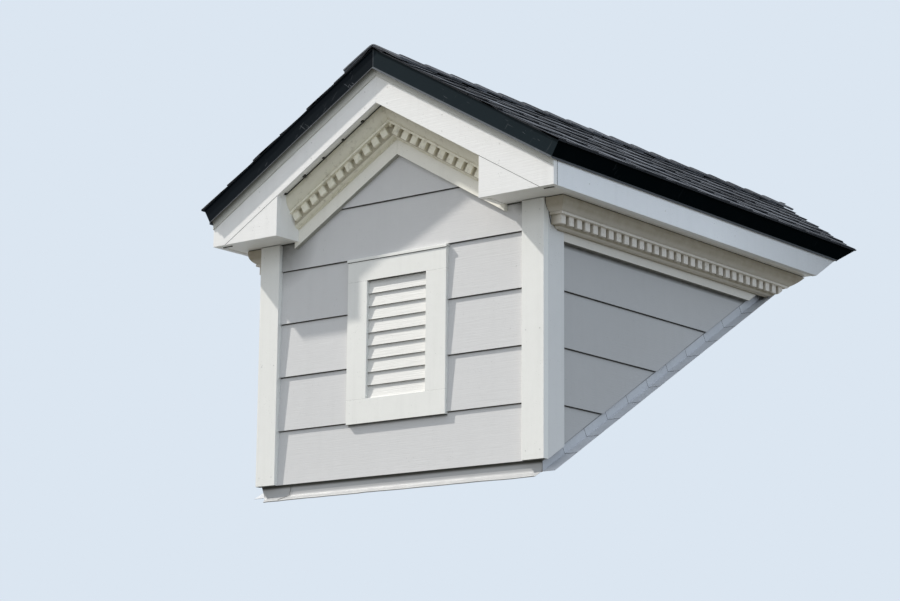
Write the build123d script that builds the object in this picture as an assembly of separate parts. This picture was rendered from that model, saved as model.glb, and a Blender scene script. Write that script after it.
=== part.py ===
"""Vent dormer: a small gabled dormer with a fixed louvre, built to sit on a sloping house roof.

The origin is in the middle of the front sole's underside. X runs along the front wall,
Y runs back up the house roof, Z is up. Sizes are in millimetres. Right-hand pieces are
made first and mirrored to the left.
"""
from build123d import *
from math import atan, ceil, cos, hypot, sin
import os

# Slopes, as rise over run
house_slope = 7 / 12
dormer_slope = 7 / 12

# Walls and framing
wall_width = 1248
wall_height = 861
roof_gap = 54
stud_width = 38
stud_depth = 89
stud_spacing = 406
sheathing = 12
plate_bite = 20
ridge_board_thickness = 25
ridge_board_depth = 140
valley_plate_width = 140
rafter_depth = 89

# Wall trim and siding
trim_thickness = 25
corner_width = 89
rake_frieze_width = 146
eave_frieze_width = 130
siding_exposure = 190.5
siding_butt = 12
siding_tip = 5

# Overhangs
eave_overhang = 125
rake_overhang = 117
board = 19
board_drip = 3
fascia_height = 81
soffit_thickness = 12
rake_board_reveal = 82
rake_soffit_recess = 11
strip_thickness = 17
strip_reveal = 19
return_length = 304
eave_clearance = 4

# Roof covering
deck_thickness = 12
shingle_exposure = 143
shingle_butt = 9
shingle_tip = 4
shingle_overhang = 9
cap_width = 150
cap_butt = 9
cap_tip = 4

# Black metal along the roof's edges
edge_face = 61
edge_sheet = 1
edge_flange = 50
edge_kick = 6

# Flashing where the walls meet the house roof
flashing_sheet = 0.8
flashing_leg = 75
flashing_foot = 50
flashing_exposure = 143
flashing_lap = 35
pocket_depth = 2.4
pocket_margin = 3

# Dentil moulding, from its upper corner at the wall: how far out and how far down
crown_reach = 71
crown_drop = 97
crown_lip = 12
cove_reach = 47
cove_drop = 46
fillet_reach = 50
fillet_drop = 54
dentil_reach = 40
dentil_root = 24
dentil_drop = 84
toe_reach = 5
toe_lip = 3
dentil_width = 27
dentil_pitch = 46
crown_setback = 8

# Louvred vent
vent_width = 259
vent_height = 411
vent_foot = 267
casing_width = 86.5
casing_head = 76
casing_sill = 84
casing_thickness = 20
cap_height = 8
cap_reach = 3
cap_drip = 4
cap_lip = 6
lining = 19
blade_count = 9
blade_thickness = 5
blade_lean = 7
blade_lap = 10
blade_setback = 9

# Clearance between two pieces of one node that would otherwise meet
fit_gap = 0.3

# Directions and planes
run = cos(atan(dormer_slope))
rise = sin(atan(dormer_slope))
house_run = cos(atan(house_slope))
house_rise = sin(atan(house_slope))
down_slope = Vector(run, 0, -rise)
off_slope = Vector(rise, 0, run)
up_house = Vector(0, house_run, house_rise)
off_house = Vector(0, -house_rise, house_run)

# Depths, front to back
wall_y = -stud_depth / 2
wall_back_y = stud_depth / 2
sheath_y = wall_y - sheathing
trim_y = sheath_y - trim_thickness
rake_y = trim_y - rake_overhang
rake_back_y = rake_y + board
strip_y = rake_y - strip_thickness

# Distances from the middle
trim_x = wall_width / 2
sheath_x = trim_x - trim_thickness
wall_x = sheath_x - sheathing
inner_x = wall_x - stud_depth
fascia_x = trim_x + eave_overhang
fascia_back_x = fascia_x - board
return_x = fascia_x - return_length
return_back_x = return_x + board

# Heights
foot_z = house_slope * trim_y + roof_gap
soffit_z = foot_z + wall_height
soffit_top_z = soffit_z + soffit_thickness
drip_z = soffit_z - board_drip
edge_z = soffit_z + fascia_height
ridge_z = edge_z + edge_face * run + dormer_slope * (fascia_x + edge_face * rise)
sole_top_z = house_slope * wall_back_y + stud_width / 2
vent_foot_z = foot_z + vent_foot
vent_head_z = vent_foot_z + vent_height

# Depths below the top of the roof deck, square to it
rafter_bottom = deck_thickness + rafter_depth
strip_bottom = edge_face + strip_reveal
rake_board_bottom = strip_bottom + rake_board_reveal
rake_soffit_bottom = rake_board_bottom - rake_soffit_recess
rake_soffit_top = rake_soffit_bottom - soffit_thickness
rake_frieze_bottom = rake_soffit_bottom + rake_frieze_width

# The rest
slope_length = (fascia_x + edge_face * rise) / run
far_y = (ridge_z + wall_width) / house_slope
trim_lift = (foot_z - house_slope * sheath_y) * house_run


def slope_z(x, depth):
    """Height of the plane that lies depth below the top of the roof deck."""
    return ridge_z - depth / run - dormer_slope * abs(x)


def slope_x(z, depth):
    """Distance from the middle at which that plane comes down to z."""
    return (ridge_z - depth / run - z) / dormer_slope


plate_top_z = slope_z(wall_x, rafter_bottom) + plate_bite


def prism(points, travel):
    """Solid that a polygon of 3-D points sweeps along a straight travel."""
    return Solid.extrude(Face(Wire.make_polygon(points)), travel)


def along_y(points, front, back):
    """Solid with an outline of (x, z) points, from front to back."""
    return prism([Vector(x, front, z) for x, z in points], Vector(0, back - front, 0))


def along_x(points, left, right):
    """Solid with an outline of (y, z) points, from left to right."""
    return prism([Vector(left, y, z) for y, z in points], Vector(right - left, 0, 0))


def along_z(points, bottom, top):
    """Solid with an outline of (x, y) points, from bottom to top."""
    return prism([Vector(x, y, bottom) for x, y in points], Vector(0, 0, top - bottom))


def along_slope(points, start, end):
    """Solid with an outline of (y, depth) points, between two distances down the right slope."""
    base = Vector(0, 0, ridge_z) + down_slope * start
    corners = [base + Vector(0, y, 0) - off_slope * depth for y, depth in points]
    return prism(corners, down_slope * (end - start))


def block(left, right, front, back, bottom, top):
    """Solid between six square faces."""
    outline = [(left, bottom), (right, bottom), (right, top), (left, top)]
    return along_y(outline, front, back)


def keep_side(shape, point, normal):
    """What lies on the side of a plane that its normal points to."""
    return split(shape, bisect_by=Plane(origin=point, z_dir=normal), keep=Keep.TOP)


def on_house(shape, lift=0):
    """What lies above the house roof, or above a plane lift over it."""
    return keep_side(shape, off_house * lift, off_house)


def under_deck(shape):
    """Right-hand shape without what would reach into the roof deck."""
    return keep_side(shape, Vector(0, 0, ridge_z) - off_slope * deck_thickness, off_slope * -1)


def other_side(shape):
    """The same piece on the left."""
    return mirror(shape, about=Plane.YZ)


def save(name, *shapes):
    """Write one node."""
    solids = [solid for shape in shapes for solid in shape.solids()]
    export_step(solids[0] if len(solids) == 1 else Compound(children=solids), f"parts/{name}.step")


def save_both(name, *shapes):
    """Write one node with the right-hand pieces and their mirror images."""
    save(name, *shapes, *[other_side(shape) for shape in shapes])


def save_each(name, shape):
    """Write a right-hand node and a left-hand node."""
    save(f"{name}_right", shape)
    save(f"{name}_left", other_side(shape))


def lapped(face, away, bottom, courses, exposure, butt, tip):
    """Outline of lapped courses as (distance, height) points, thick at each lower edge."""
    points = [(face, bottom)]
    for course in range(courses):
        low = bottom + course * exposure
        points += [(face + away * butt, low), (face + away * tip, low + exposure)]
    return points + [(face, bottom + courses * exposure)]


def gable_outline(half_width, bottom, depth):
    """(x, z) outline of a gable wall up to a plane depth below the top of the deck."""
    eave = slope_z(half_width, depth)
    return [(half_width, bottom), (half_width, eave), (0, slope_z(0, depth)), (-half_width, eave),
            (-half_width, bottom)]


def roof_band(start_x, end_x, upper, lower):
    """(x, z) outline between two depths below the deck, cut plumb at both ends."""
    return [(start_x, slope_z(start_x, upper)), (end_x, slope_z(end_x, upper)),
            (end_x, slope_z(end_x, lower)), (start_x, slope_z(start_x, lower))]


def edge_point(depth, out=0):
    """(x, z) of a point on the eave's metal face: depth below the deck's top, out from the wood."""
    down = edge_face - depth
    return (fascia_x + down * rise + out * run, edge_z + down * run - out * rise)


def vent_block(margin, front, back):
    """The vent's clear opening with a margin all round."""
    half_width = vent_width / 2 + margin
    return block(-half_width, half_width, front, back, vent_foot_z - margin, vent_head_z + margin)


def wall_pocket():
    """Room behind the front's boards for the upturned leg of the apron flashing."""
    top = house_slope * sheath_y + (flashing_leg + pocket_margin) / house_run
    return block(-sheath_x, sheath_x, sheath_y - pocket_depth, sheath_y, foot_z - roof_gap, top)


def cheek_pocket():
    """Room behind a cheek's boards for the upturned legs of the step flashings."""
    room = block(sheath_x, sheath_x + pocket_depth, sheath_y, far_y, foot_z - roof_gap, ridge_z)
    lift = flashing_leg + pocket_margin
    return keep_side(room, off_house * lift, off_house * -1)


def ridge_board():
    """Ridge board, bevelled to both roof decks."""
    half_width = ridge_board_thickness / 2
    peak = slope_z(0, deck_thickness)
    outline = gable_outline(half_width, peak - ridge_board_depth, deck_thickness)
    return on_house(along_y(outline, rake_back_y, far_y))


def sole_frame():
    """Bevelled front sole and two sloping side soles on the house roof, as one frame."""
    front = on_house(block(-wall_x, wall_x, wall_y, wall_back_y, foot_z - roof_gap, sole_top_z))
    side = on_house(block(inner_x, wall_x, wall_y, far_y, foot_z - roof_gap, ridge_z))
    side = under_deck(keep_side(side, off_house * stud_width, off_house * -1))
    side = side - block(0, wall_x, wall_y, wall_back_y, sole_top_z, ridge_z)
    return front + side + other_side(side)


def front_framing():
    """Corner posts, and the studs, sill, header and king post round the vent."""
    rough = vent_width / 2 + lining
    gable = along_y(gable_outline(wall_x, sole_top_z, rafter_bottom), wall_y, wall_back_y)
    sill_top = vent_foot_z - lining
    header = vent_head_z + lining
    header_top = header + stud_depth
    post = gable & block(inner_x, wall_x, wall_y, wall_back_y, sole_top_z, ridge_z)
    stud = gable & block(rough, rough + stud_width, wall_y, wall_back_y, sole_top_z, ridge_z)
    half_span = rough - fit_gap
    sill = block(-half_span, half_span, wall_y, wall_back_y, sill_top - stud_width, sill_top)
    beam = block(-half_span, half_span, wall_y, wall_back_y, header, header_top)
    king = block(-stud_width / 2, stud_width / 2, wall_y, wall_back_y, header_top + fit_gap, ridge_z)
    king = (gable & king) - ridge_board()
    return post, other_side(post), stud, other_side(stud), sill, beam, king


def cheek_framing():
    """Top plate and studs of the right cheek, standing on the side sole."""
    plate_bottom = plate_top_z - stud_width
    pieces = [block(inner_x, wall_x, wall_back_y, far_y, plate_bottom, plate_top_z)]
    stud_top = plate_bottom - fit_gap
    for index in range(1, ceil((stud_top - stud_depth) / house_slope / stud_spacing)):
        front = wall_y + index * stud_spacing
        pieces.append(block(inner_x, wall_x, front, front + stud_width, foot_z, stud_top))
    return [on_house(piece, stud_width) for piece in pieces]


def rafters():
    """Right-hand rafters: one behind the rake board, one over the wall, the rest notched."""
    inner = ridge_board_thickness / 2
    fly = [(inner, slope_z(inner, deck_thickness)),
           (fascia_back_x, slope_z(fascia_back_x, deck_thickness)), (fascia_back_x, soffit_top_z),
           (slope_x(soffit_top_z, rake_soffit_top), soffit_top_z), (inner, slope_z(inner, rake_soffit_top))]
    made = [along_y(fly, rake_back_y, rake_back_y + stud_width)]
    notch = block(inner_x, wall_x, wall_back_y, far_y, foot_z, plate_top_z)
    outline = roof_band(inner, fascia_back_x, deck_thickness, rafter_bottom)
    last = (slope_z(inner, rafter_bottom) - stud_depth) / house_slope
    for index in range(ceil((last - wall_y) / stud_spacing)):
        front = wall_y + index * stud_spacing
        made.append(on_house(along_y(outline, front, front + stud_width), stud_width) - notch)
    return made


def valley_plate():
    """Board on the house roof under the right valley, bevelled to the roof deck."""
    reach = ridge_z / house_slope
    width = valley_plate_width / house_run
    half_board = ridge_board_thickness / 2
    ratio = dormer_slope / house_slope
    outline = [(half_board, reach), (inner_x, reach - inner_x * ratio),
               (inner_x, reach - inner_x * ratio - 2 * width), (half_board, reach - 2 * width)]
    plate = on_house(along_z(outline, 0, ridge_z))
    plate = keep_side(plate, off_house * stud_width, off_house * -1)
    return under_deck(plate) - ridge_board()


def roof_deck():
    """Right-hand roof deck, from the rake to the valley."""
    outline = [(0, ridge_z), edge_point(0), edge_point(deck_thickness), (0, slope_z(0, deck_thickness))]
    return on_house(along_y(outline, strip_y, far_y))


def eave_nailer():
    """Wood behind the eave's metal face, shaped to it."""
    outline = [(fascia_back_x, edge_z), (fascia_x, edge_z), edge_point(deck_thickness),
               (fascia_back_x, slope_z(fascia_back_x, deck_thickness))]
    return on_house(along_y(outline, rake_back_y, far_y))


def front_sheathing():
    """Gable sheathing with the vent's rough opening, notched round the ridge board."""
    outline = gable_outline(sheath_x, foot_z - roof_gap, deck_thickness)
    sheet = on_house(along_y(outline, sheath_y, wall_y))
    return sheet - vent_block(lining, sheath_y, wall_y) - ridge_board()


def cheek_sheathing():
    """Right-hand cheek sheathing, from the house roof to the rafters."""
    outline = [(wall_x, foot_z - roof_gap), (sheath_x, foot_z - roof_gap),
               (sheath_x, slope_z(sheath_x, rafter_bottom)), (wall_x, slope_z(wall_x, rafter_bottom))]
    return on_house(along_y(outline, wall_y, far_y))


def front_siding():
    """Lapped boards of the front, cut to the corner boards, the friezes and the vent's casing."""
    half_width = trim_x - corner_width
    courses = ceil((ridge_z - foot_z) / siding_exposure)
    boards = lapped(sheath_y, -1, foot_z, courses, siding_exposure, siding_butt, siding_tip)
    shell = along_x(boards, -half_width, half_width)
    right = [(half_width, foot_z), (half_width, soffit_z), (return_back_x, soffit_z),
             (return_back_x, slope_z(return_back_x, rake_frieze_bottom))]
    left = [(-x, z) for x, z in reversed(right)]
    outline = right + [(0, slope_z(0, rake_frieze_bottom))] + left
    shell = shell & along_y(outline, trim_y, sheath_y)
    half_casing = vent_width / 2 + casing_width
    shell -= block(-half_casing, half_casing, trim_y, sheath_y,
                   vent_foot_z - casing_sill, vent_head_z + casing_head)
    return shell - vent_cap() - wall_pocket()


def cheek_siding():
    """Lapped boards of the right cheek, cut parallel to the house roof."""
    front = sheath_y + corner_width
    courses = ceil((wall_height - eave_frieze_width) / siding_exposure)
    boards = lapped(sheath_x, 1, foot_z, courses, siding_exposure, siding_butt, siding_tip)
    shell = on_house(along_y(boards, front, far_y), trim_lift)
    shell = shell & block(sheath_x, trim_x, front, far_y, foot_z, soffit_z - eave_frieze_width)
    return shell - cheek_pocket()


def corner_boards():
    """Right-hand front and side corner boards."""
    front = block(trim_x - corner_width, trim_x, trim_y, sheath_y, foot_z, soffit_z)
    side = block(sheath_x, trim_x, sheath_y, sheath_y + corner_width, foot_z, soffit_z)
    return front - wall_pocket(), on_house(side, trim_lift) - cheek_pocket()


def rake_frieze():
    """Right-hand frieze board under the rake soffit."""
    outline = roof_band(fit_gap / 2, return_back_x, rake_soffit_bottom, rake_frieze_bottom)
    return along_y(outline, trim_y, sheath_y)


def eave_frieze():
    """Right-hand frieze board under the eave soffit."""
    frieze = block(sheath_x, trim_x, sheath_y + corner_width, far_y,
                   soffit_z - eave_frieze_width, soffit_z)
    return on_house(frieze, trim_lift) - cheek_pocket()


def crown_profile():
    """Section of the dentil moulding: x is out from the wall, y is up from its upper corner."""
    lip = (crown_reach, -crown_lip)
    cove = (cove_reach, -cove_drop)
    toe = (toe_reach, toe_lip - crown_drop)
    root = (dentil_root, -dentil_drop)
    outline = Polyline((0, 0), (crown_reach, 0), lip)
    outline += RadiusArc(lip, cove, 1.2 * (cove_drop - crown_lip))
    outline += Polyline(cove, (fillet_reach, -cove_drop), (fillet_reach, -fillet_drop),
                        (dentil_reach, -fillet_drop), (dentil_reach, -dentil_drop), root)
    outline += RadiusArc(root, toe, 1.1 * (crown_drop - dentil_drop + toe_lip))
    outline += Polyline(toe, (toe_reach, -crown_drop), (0, -crown_drop), (0, 0))
    return make_face(outline)


def eave_dentil():
    """Right-hand eave moulding, returned to the wall at its front end, with its dentils cut."""
    length = far_y - trim_y
    start_y = trim_y + crown_setback
    side = Plane(origin=(trim_x, start_y, soffit_z), x_dir=(1, 0, 0), z_dir=(0, -1, 0))
    moulding = extrude(side * crown_profile(), amount=-length)
    back_y = start_y + crown_reach
    front = Plane(origin=(trim_x, back_y, soffit_z), x_dir=(0, -1, 0), z_dir=(-1, 0, 0))
    returned = extrude(front * crown_profile(), amount=-crown_reach)
    returned += block(trim_x, trim_x + crown_reach, back_y, far_y, soffit_z - crown_drop, soffit_z)
    moulding = on_house(moulding & returned, eave_clearance)
    first = back_y - dentil_reach + dentil_width
    count = ceil((soffit_z / house_slope - first) / dentil_pitch)
    gaps = [block(trim_x + dentil_root, trim_x + fillet_reach, first + index * dentil_pitch,
                  first + (index + 1) * dentil_pitch - dentil_width,
                  soffit_z - dentil_drop, soffit_z - fillet_drop) for index in range(count)]
    return moulding - gaps


def rake_dentil():
    """Right-hand rake moulding, mitred at the peak, with its dentils cut square to the slope."""
    corner = Vector(0, trim_y, slope_z(0, rake_soffit_bottom))
    plane = Plane(origin=corner + down_slope * -crown_drop, x_dir=(0, -1, 0), z_dir=down_slope * -1)
    moulding = extrude(plane * crown_profile(), amount=-(slope_length + crown_drop))
    moulding = moulding & block(0, return_x, rake_back_y, trim_y, soffit_z - crown_drop, ridge_z)
    upper = rake_soffit_bottom + fillet_drop
    lower = rake_soffit_bottom + dentil_drop
    band = [(trim_y - fillet_reach, upper), (trim_y - dentil_root, upper),
            (trim_y - dentil_root, lower), (trim_y - fillet_reach, lower)]
    half_gap = (dentil_pitch - dentil_width) / 2
    gaps = []
    for index in range(ceil(return_x / run / dentil_pitch) + 1):
        middle = lower * dormer_slope + index * dentil_pitch
        gaps.append(along_slope(band, middle - half_gap, middle + half_gap))
    return moulding - gaps


def rake_board():
    """Right-hand rake board, its lower end shaped to the eave."""
    joint = slope_x(drip_z, rake_board_bottom)
    outline = [(0, slope_z(0, deck_thickness)), edge_point(deck_thickness), (fascia_x, edge_z),
               (fascia_x, drip_z), (joint, drip_z), (0, slope_z(0, rake_board_bottom))]
    return along_y(outline, rake_y, rake_back_y)


def rake_strip():
    """Right-hand strip on the rake board, mostly behind the metal."""
    start = fit_gap / 2
    outline = [(start, slope_z(start, deck_thickness)), edge_point(deck_thickness), (fascia_x, edge_z),
               (fascia_x, slope_z(fascia_x, strip_bottom)), (start, slope_z(start, strip_bottom))]
    return along_y(outline, strip_y, rake_y)


def eave_return():
    """Right-hand face and inner side of the boxed eave return."""
    joint = slope_x(drip_z, rake_board_bottom)
    face = along_y([(return_x, drip_z), (joint, drip_z), (return_x, slope_z(return_x, rake_board_bottom))],
                   rake_y, rake_back_y)
    side = along_y([(return_x, drip_z), (return_back_x, drip_z),
                    (return_back_x, slope_z(return_back_x, rake_soffit_bottom)),
                    (return_x, slope_z(return_x, rake_soffit_bottom))], rake_back_y, trim_y)
    return face, side


def eave_soffit():
    """Right-hand flat soffit, from the return's inner side round the corner and along the eave."""
    outline = [(return_back_x, rake_back_y), (fascia_back_x, rake_back_y), (fascia_back_x, far_y),
               (sheath_x, far_y), (sheath_x, sheath_y), (return_back_x, sheath_y)]
    return on_house(along_z(outline, soffit_z, soffit_top_z), eave_clearance)


def rake_soffit():
    """Right-hand sloping soffit of the rake."""
    outline = roof_band(fit_gap / 2, return_back_x, rake_soffit_top, rake_soffit_bottom)
    return along_y(outline, rake_back_y, sheath_y)


def eave_fascia():
    """Right-hand fascia, cut parallel to the house roof."""
    fascia = block(fascia_back_x, fascia_x, rake_back_y, far_y, drip_z, edge_z)
    return on_house(fascia, eave_clearance)


def rake_edge():
    """Right-hand black metal along the rake: flange on the deck, face, and kicked-out foot."""
    face_y = strip_y - edge_sheet
    kick = edge_kick * run
    outline = [(strip_y + edge_flange, 0), (strip_y, 0), (strip_y, edge_face - edge_kick),
               (strip_y - kick, edge_face), (face_y - kick, edge_face),
               (face_y, edge_face - edge_kick), (face_y, -edge_sheet), (strip_y + edge_flange, -edge_sheet)]
    metal = along_slope(outline, -edge_face, slope_length + edge_sheet)
    return metal & block(0, fascia_x + edge_face, face_y - edge_kick, strip_y + edge_flange,
                         soffit_z, ridge_z + edge_sheet / run)


def eave_edge():
    """Right-hand black metal along the eave, square to the slope."""
    kick = edge_kick * run
    outline = [edge_point(0, -edge_flange), edge_point(0), edge_point(edge_face - edge_kick),
               edge_point(edge_face, kick), edge_point(edge_face, kick + edge_sheet),
               edge_point(edge_face - edge_kick, edge_sheet), edge_point(-edge_sheet, edge_sheet),
               edge_point(-edge_sheet, -edge_flange)]
    return on_house(along_y(outline, strip_y, far_y)) - rake_edge()


def shingle_slope():
    """Right-hand shingles as lapped courses that run past the metal at the eave and the rake."""
    low = slope_length + edge_sheet + shingle_overhang
    courses = ceil(low / shingle_exposure)
    front = strip_y - edge_sheet - shingle_overhang
    outline = lapped(0, 1, 0, courses, shingle_exposure, shingle_butt, shingle_tip)
    start = Vector(0, front, ridge_z) + down_slope * low
    corners = [start - down_slope * up + off_slope * height for height, up in outline]
    sheet = on_house(prism(corners, Vector(0, far_y - front, 0)))
    sheet = sheet & block(0, low, front, far_y, 0, ridge_z + shingle_exposure)
    return sheet - rake_edge() - eave_edge()


def ridge_caps():
    """Lapped caps bent over the ridge, each one's thick edge to the front."""
    front = strip_y - edge_sheet - shingle_overhang
    top = slope_z(0, -shingle_butt)
    courses = ceil((top / house_slope - front) / shingle_exposure)
    outline = [(front, -shingle_butt)]
    for course in range(courses):
        near = front + course * shingle_exposure
        outline += [(near, -shingle_butt - cap_butt), (near + shingle_exposure, -shingle_butt - cap_tip)]
    outline.append((front + courses * shingle_exposure, -shingle_butt))
    side = along_slope(outline, -cap_width, cap_width)
    side = keep_side(side, Vector(0, 0, 0), Vector(1, 0, 0))
    return on_house(side + other_side(side))


def apron_flashing():
    """Flashing along the foot of the front wall: a leg behind the siding, a foot on the roof."""
    heel = Vector(0, sheath_y, house_slope * sheath_y)
    toe = heel - up_house * flashing_foot
    inner = sheath_y - flashing_sheet
    thick = flashing_sheet / house_run
    top = heel.Z + flashing_leg / house_run
    upper_toe = toe + off_house * flashing_sheet
    outline = [(heel.Y, heel.Z), (toe.Y, toe.Z), (upper_toe.Y, upper_toe.Z),
               (inner, house_slope * inner + thick), (inner, top), (heel.Y, top)]
    return along_x(outline, -sheath_x, sheath_x)


def step_flashings():
    """Right-hand step flashings, each lapping over the one below it."""
    length = flashing_exposure + flashing_lap
    spread = (flashing_sheet + fit_gap / 3) * length / flashing_exposure
    total = (soffit_z / house_slope - sheath_y) / house_run
    outline = [(0, 0), (flashing_foot, 0), (flashing_foot, flashing_sheet),
               (flashing_sheet, flashing_sheet), (flashing_sheet, flashing_leg), (0, flashing_leg)]
    room = block(sheath_x, fascia_x, sheath_y, far_y, foot_z - roof_gap, soffit_z)
    made = []
    for index in range(ceil(total / flashing_exposure)):
        foot = Vector(sheath_x, sheath_y, house_slope * sheath_y) + up_house * (index * flashing_exposure)
        corners = [foot + Vector(out + spread, 0, 0) + off_house * (up + spread) for out, up in outline]
        travel = up_house * length - Vector(spread, 0, 0) - off_house * spread
        made.append(prism(corners, travel) & room)
    return made


def vent_casing():
    """Head, right-hand stile and sill of the casing."""
    inner = vent_width / 2
    outer = inner + casing_width
    front = sheath_y - casing_thickness
    head = block(-outer, outer, front, sheath_y, vent_head_z, vent_head_z + casing_head)
    stile = block(inner, outer, front, sheath_y, vent_foot_z, vent_head_z)
    sill = block(-outer, outer, front, sheath_y, vent_foot_z - casing_sill, vent_foot_z)
    return head, stile, sill


def vent_cap():
    """Drip cap over the casing's head, its top sloped and its nose turned down."""
    outer = vent_width / 2 + casing_width + cap_reach
    bottom = vent_head_z + casing_head
    front = sheath_y - casing_thickness
    nose = front - cap_reach
    outline = [(sheath_y, bottom), (front, bottom), (front, bottom - cap_drip), (nose, bottom - cap_drip),
               (nose, bottom + cap_lip), (sheath_y, bottom + cap_height)]
    return along_x(outline, -outer, outer)


def louvre_frame():
    """Lining of the vent's opening through the wall."""
    return vent_block(lining, sheath_y, wall_back_y) - vent_block(0, sheath_y, wall_back_y)


def louvre_blades():
    """Fixed steep blades between the stiles, each one's top behind the blade above it."""
    front = sheath_y - casing_thickness + blade_setback
    pitch = vent_height / blade_count
    height = pitch + blade_lap
    lean = blade_lean / pitch * height
    thick = blade_thickness * hypot(1, blade_lean / pitch)
    room = vent_block(0, front, wall_y)
    made = []
    for index in range(blade_count):
        low = vent_foot_z + index * pitch
        outline = [(front, low), (front + thick, low), (front + thick + lean, low + height),
                   (front + lean, low + height)]
        made.append(along_x(outline, -vent_width / 2, vent_width / 2) & room)
    return made


os.makedirs("parts", exist_ok=True)
save("sole_frame", sole_frame())
save("front_framing", *front_framing())
save_both("cheek_framing", *cheek_framing())
save("ridge_board", ridge_board())
save_both("rafters", *rafters())
save_both("valley_plates", valley_plate())
save("front_sheathing", front_sheathing())
save_both("cheek_sheathing", cheek_sheathing())
save_each("roof_deck", roof_deck())
save_both("eave_nailers", eave_nailer())

save("front_siding", front_siding())
save_each("cheek_siding", cheek_siding())
front_corner, side_corner = corner_boards()
save_both("front_corner_boards", front_corner)
save_both("side_corner_boards", side_corner)
save_both("rake_friezes", rake_frieze())
save_both("eave_friezes", eave_frieze())
save_each("eave_dentil", eave_dentil())
save_each("rake_dentil", rake_dentil())

save_each("rake_board", rake_board())
save_both("rake_strips", rake_strip())
return_face, return_side = eave_return()
save_both("return_faces", return_face)
save_both("return_sides", return_side)
save_both("eave_soffits", eave_soffit())
save_both("rake_soffits", rake_soffit())
save_both("eave_fascias", eave_fascia())

save_each("rake_edge", rake_edge())
save_both("eave_edges", eave_edge())
save_each("shingles", shingle_slope())
save("ridge_caps", ridge_caps())
save("apron_flashing", apron_flashing())
save_both("step_flashings", *step_flashings())

casing_head_board, casing_stile, casing_sill_board = vent_casing()
save("vent_casing_head", casing_head_board)
save_both("vent_casing_stiles", casing_stile)
save("vent_casing_sill", casing_sill_board)
save("vent_cap", vent_cap())
save("louvre_frame", louvre_frame())
save("louvre_blades", *louvre_blades())
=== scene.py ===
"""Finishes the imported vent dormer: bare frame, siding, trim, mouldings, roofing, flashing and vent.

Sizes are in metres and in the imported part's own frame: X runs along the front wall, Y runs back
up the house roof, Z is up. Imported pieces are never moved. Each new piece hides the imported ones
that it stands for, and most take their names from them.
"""

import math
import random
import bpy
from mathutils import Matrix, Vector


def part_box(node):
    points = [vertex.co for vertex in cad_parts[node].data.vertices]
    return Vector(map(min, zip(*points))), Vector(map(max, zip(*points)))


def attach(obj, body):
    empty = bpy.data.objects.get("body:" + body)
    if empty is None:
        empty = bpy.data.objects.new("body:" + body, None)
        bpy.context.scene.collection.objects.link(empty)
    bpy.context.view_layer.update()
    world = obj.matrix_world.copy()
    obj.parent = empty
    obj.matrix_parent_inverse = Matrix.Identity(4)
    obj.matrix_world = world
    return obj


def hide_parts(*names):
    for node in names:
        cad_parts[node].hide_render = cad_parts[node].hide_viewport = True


bl_info = {
    "name": "Vent dormer finishes",
    "version": (1, 0, 0),
    "blender": (4, 5, 0),
    "location": "3D View > Sidebar > Dormer",
    "description": "Gives a packed vent dormer its boards, paint, shingles, metal and light",
    "category": "Object",
}

from functools import partialmethod

import bmesh
import bpy
from bpy.props import FloatProperty, FloatVectorProperty, IntProperty, PointerProperty
from mathutils import Matrix, Vector, noise

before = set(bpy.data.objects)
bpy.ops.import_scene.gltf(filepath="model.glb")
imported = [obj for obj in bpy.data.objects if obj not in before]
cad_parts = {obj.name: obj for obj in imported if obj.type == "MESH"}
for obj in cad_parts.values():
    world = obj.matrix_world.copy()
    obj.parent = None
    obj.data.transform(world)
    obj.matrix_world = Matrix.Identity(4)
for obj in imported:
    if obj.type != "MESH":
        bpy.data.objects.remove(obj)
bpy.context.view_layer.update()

BODY = "root"
SIDES = (("left", -1), ("right", 1))
UP = Vector((0, 0, 1))
BACK = Vector((0, 1, 0))

# Both roofs rise 7 in 12
SLOPE = 7 / 12
TURN = math.atan(SLOPE)
RUN = math.cos(TURN)
RISE = math.sin(TURN)
OFF_HOUSE = Vector((0, -RISE, RUN))
UP_HOUSE = Vector((0, RUN, RISE))

# Places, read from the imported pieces
TRIM_LOW, TRIM_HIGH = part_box("front_corner_boards")
FRONT_Y = TRIM_LOW.y
SHEATH_Y = TRIM_HIGH.y
TRIM_X = TRIM_HIGH.x
FOOT_Z = TRIM_LOW.z
SOFFIT_Z = TRIM_HIGH.z
RIDGE_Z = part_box("roof_deck_right")[1].z
RAKE_LOW, RAKE_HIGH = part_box("rake_board_right")
RAKE_Y = RAKE_LOW.y
RAKE_BACK_Y = RAKE_HIGH.y
DRIP_Z = RAKE_LOW.z
STRIP_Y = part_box("rake_strips")[0].y
FASCIA_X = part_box("eave_fascias")[1].x
RETURN_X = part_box("return_sides")[1].x
RETURN_INNER_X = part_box("rake_dentil_right")[1].x
CROWN_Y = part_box("rake_dentil_right")[0].y
FRIEZE_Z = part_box("eave_friezes")[0].z
CASING_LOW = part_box("vent_casing_sill")[0]
CASING_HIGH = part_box("vent_casing_head")[1]
VENT_LOW = Vector((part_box("louvre_blades")[0].x, CASING_LOW.y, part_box("vent_casing_sill")[1].z))
VENT_HIGH = Vector((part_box("louvre_blades")[1].x, CASING_LOW.y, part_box("vent_casing_head")[0].z))

# Depths below the deck's top and heights off the house roof, square to the slope
SOFFIT_BOARD = 0.012
RAKE_SOFFIT_DEPTH = (RIDGE_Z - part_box("rake_soffits")[1].z) * RUN + SOFFIT_BOARD
EDGE_METAL_DEPTH = 0.061
TRIM_LIFT = (FOOT_Z - SLOPE * SHEATH_Y) * RUN
ROOF_CLEARANCE = 0.0004

SIDING_EXPOSURE = 0.1905
CORNER_WIDTH = 0.089

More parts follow.
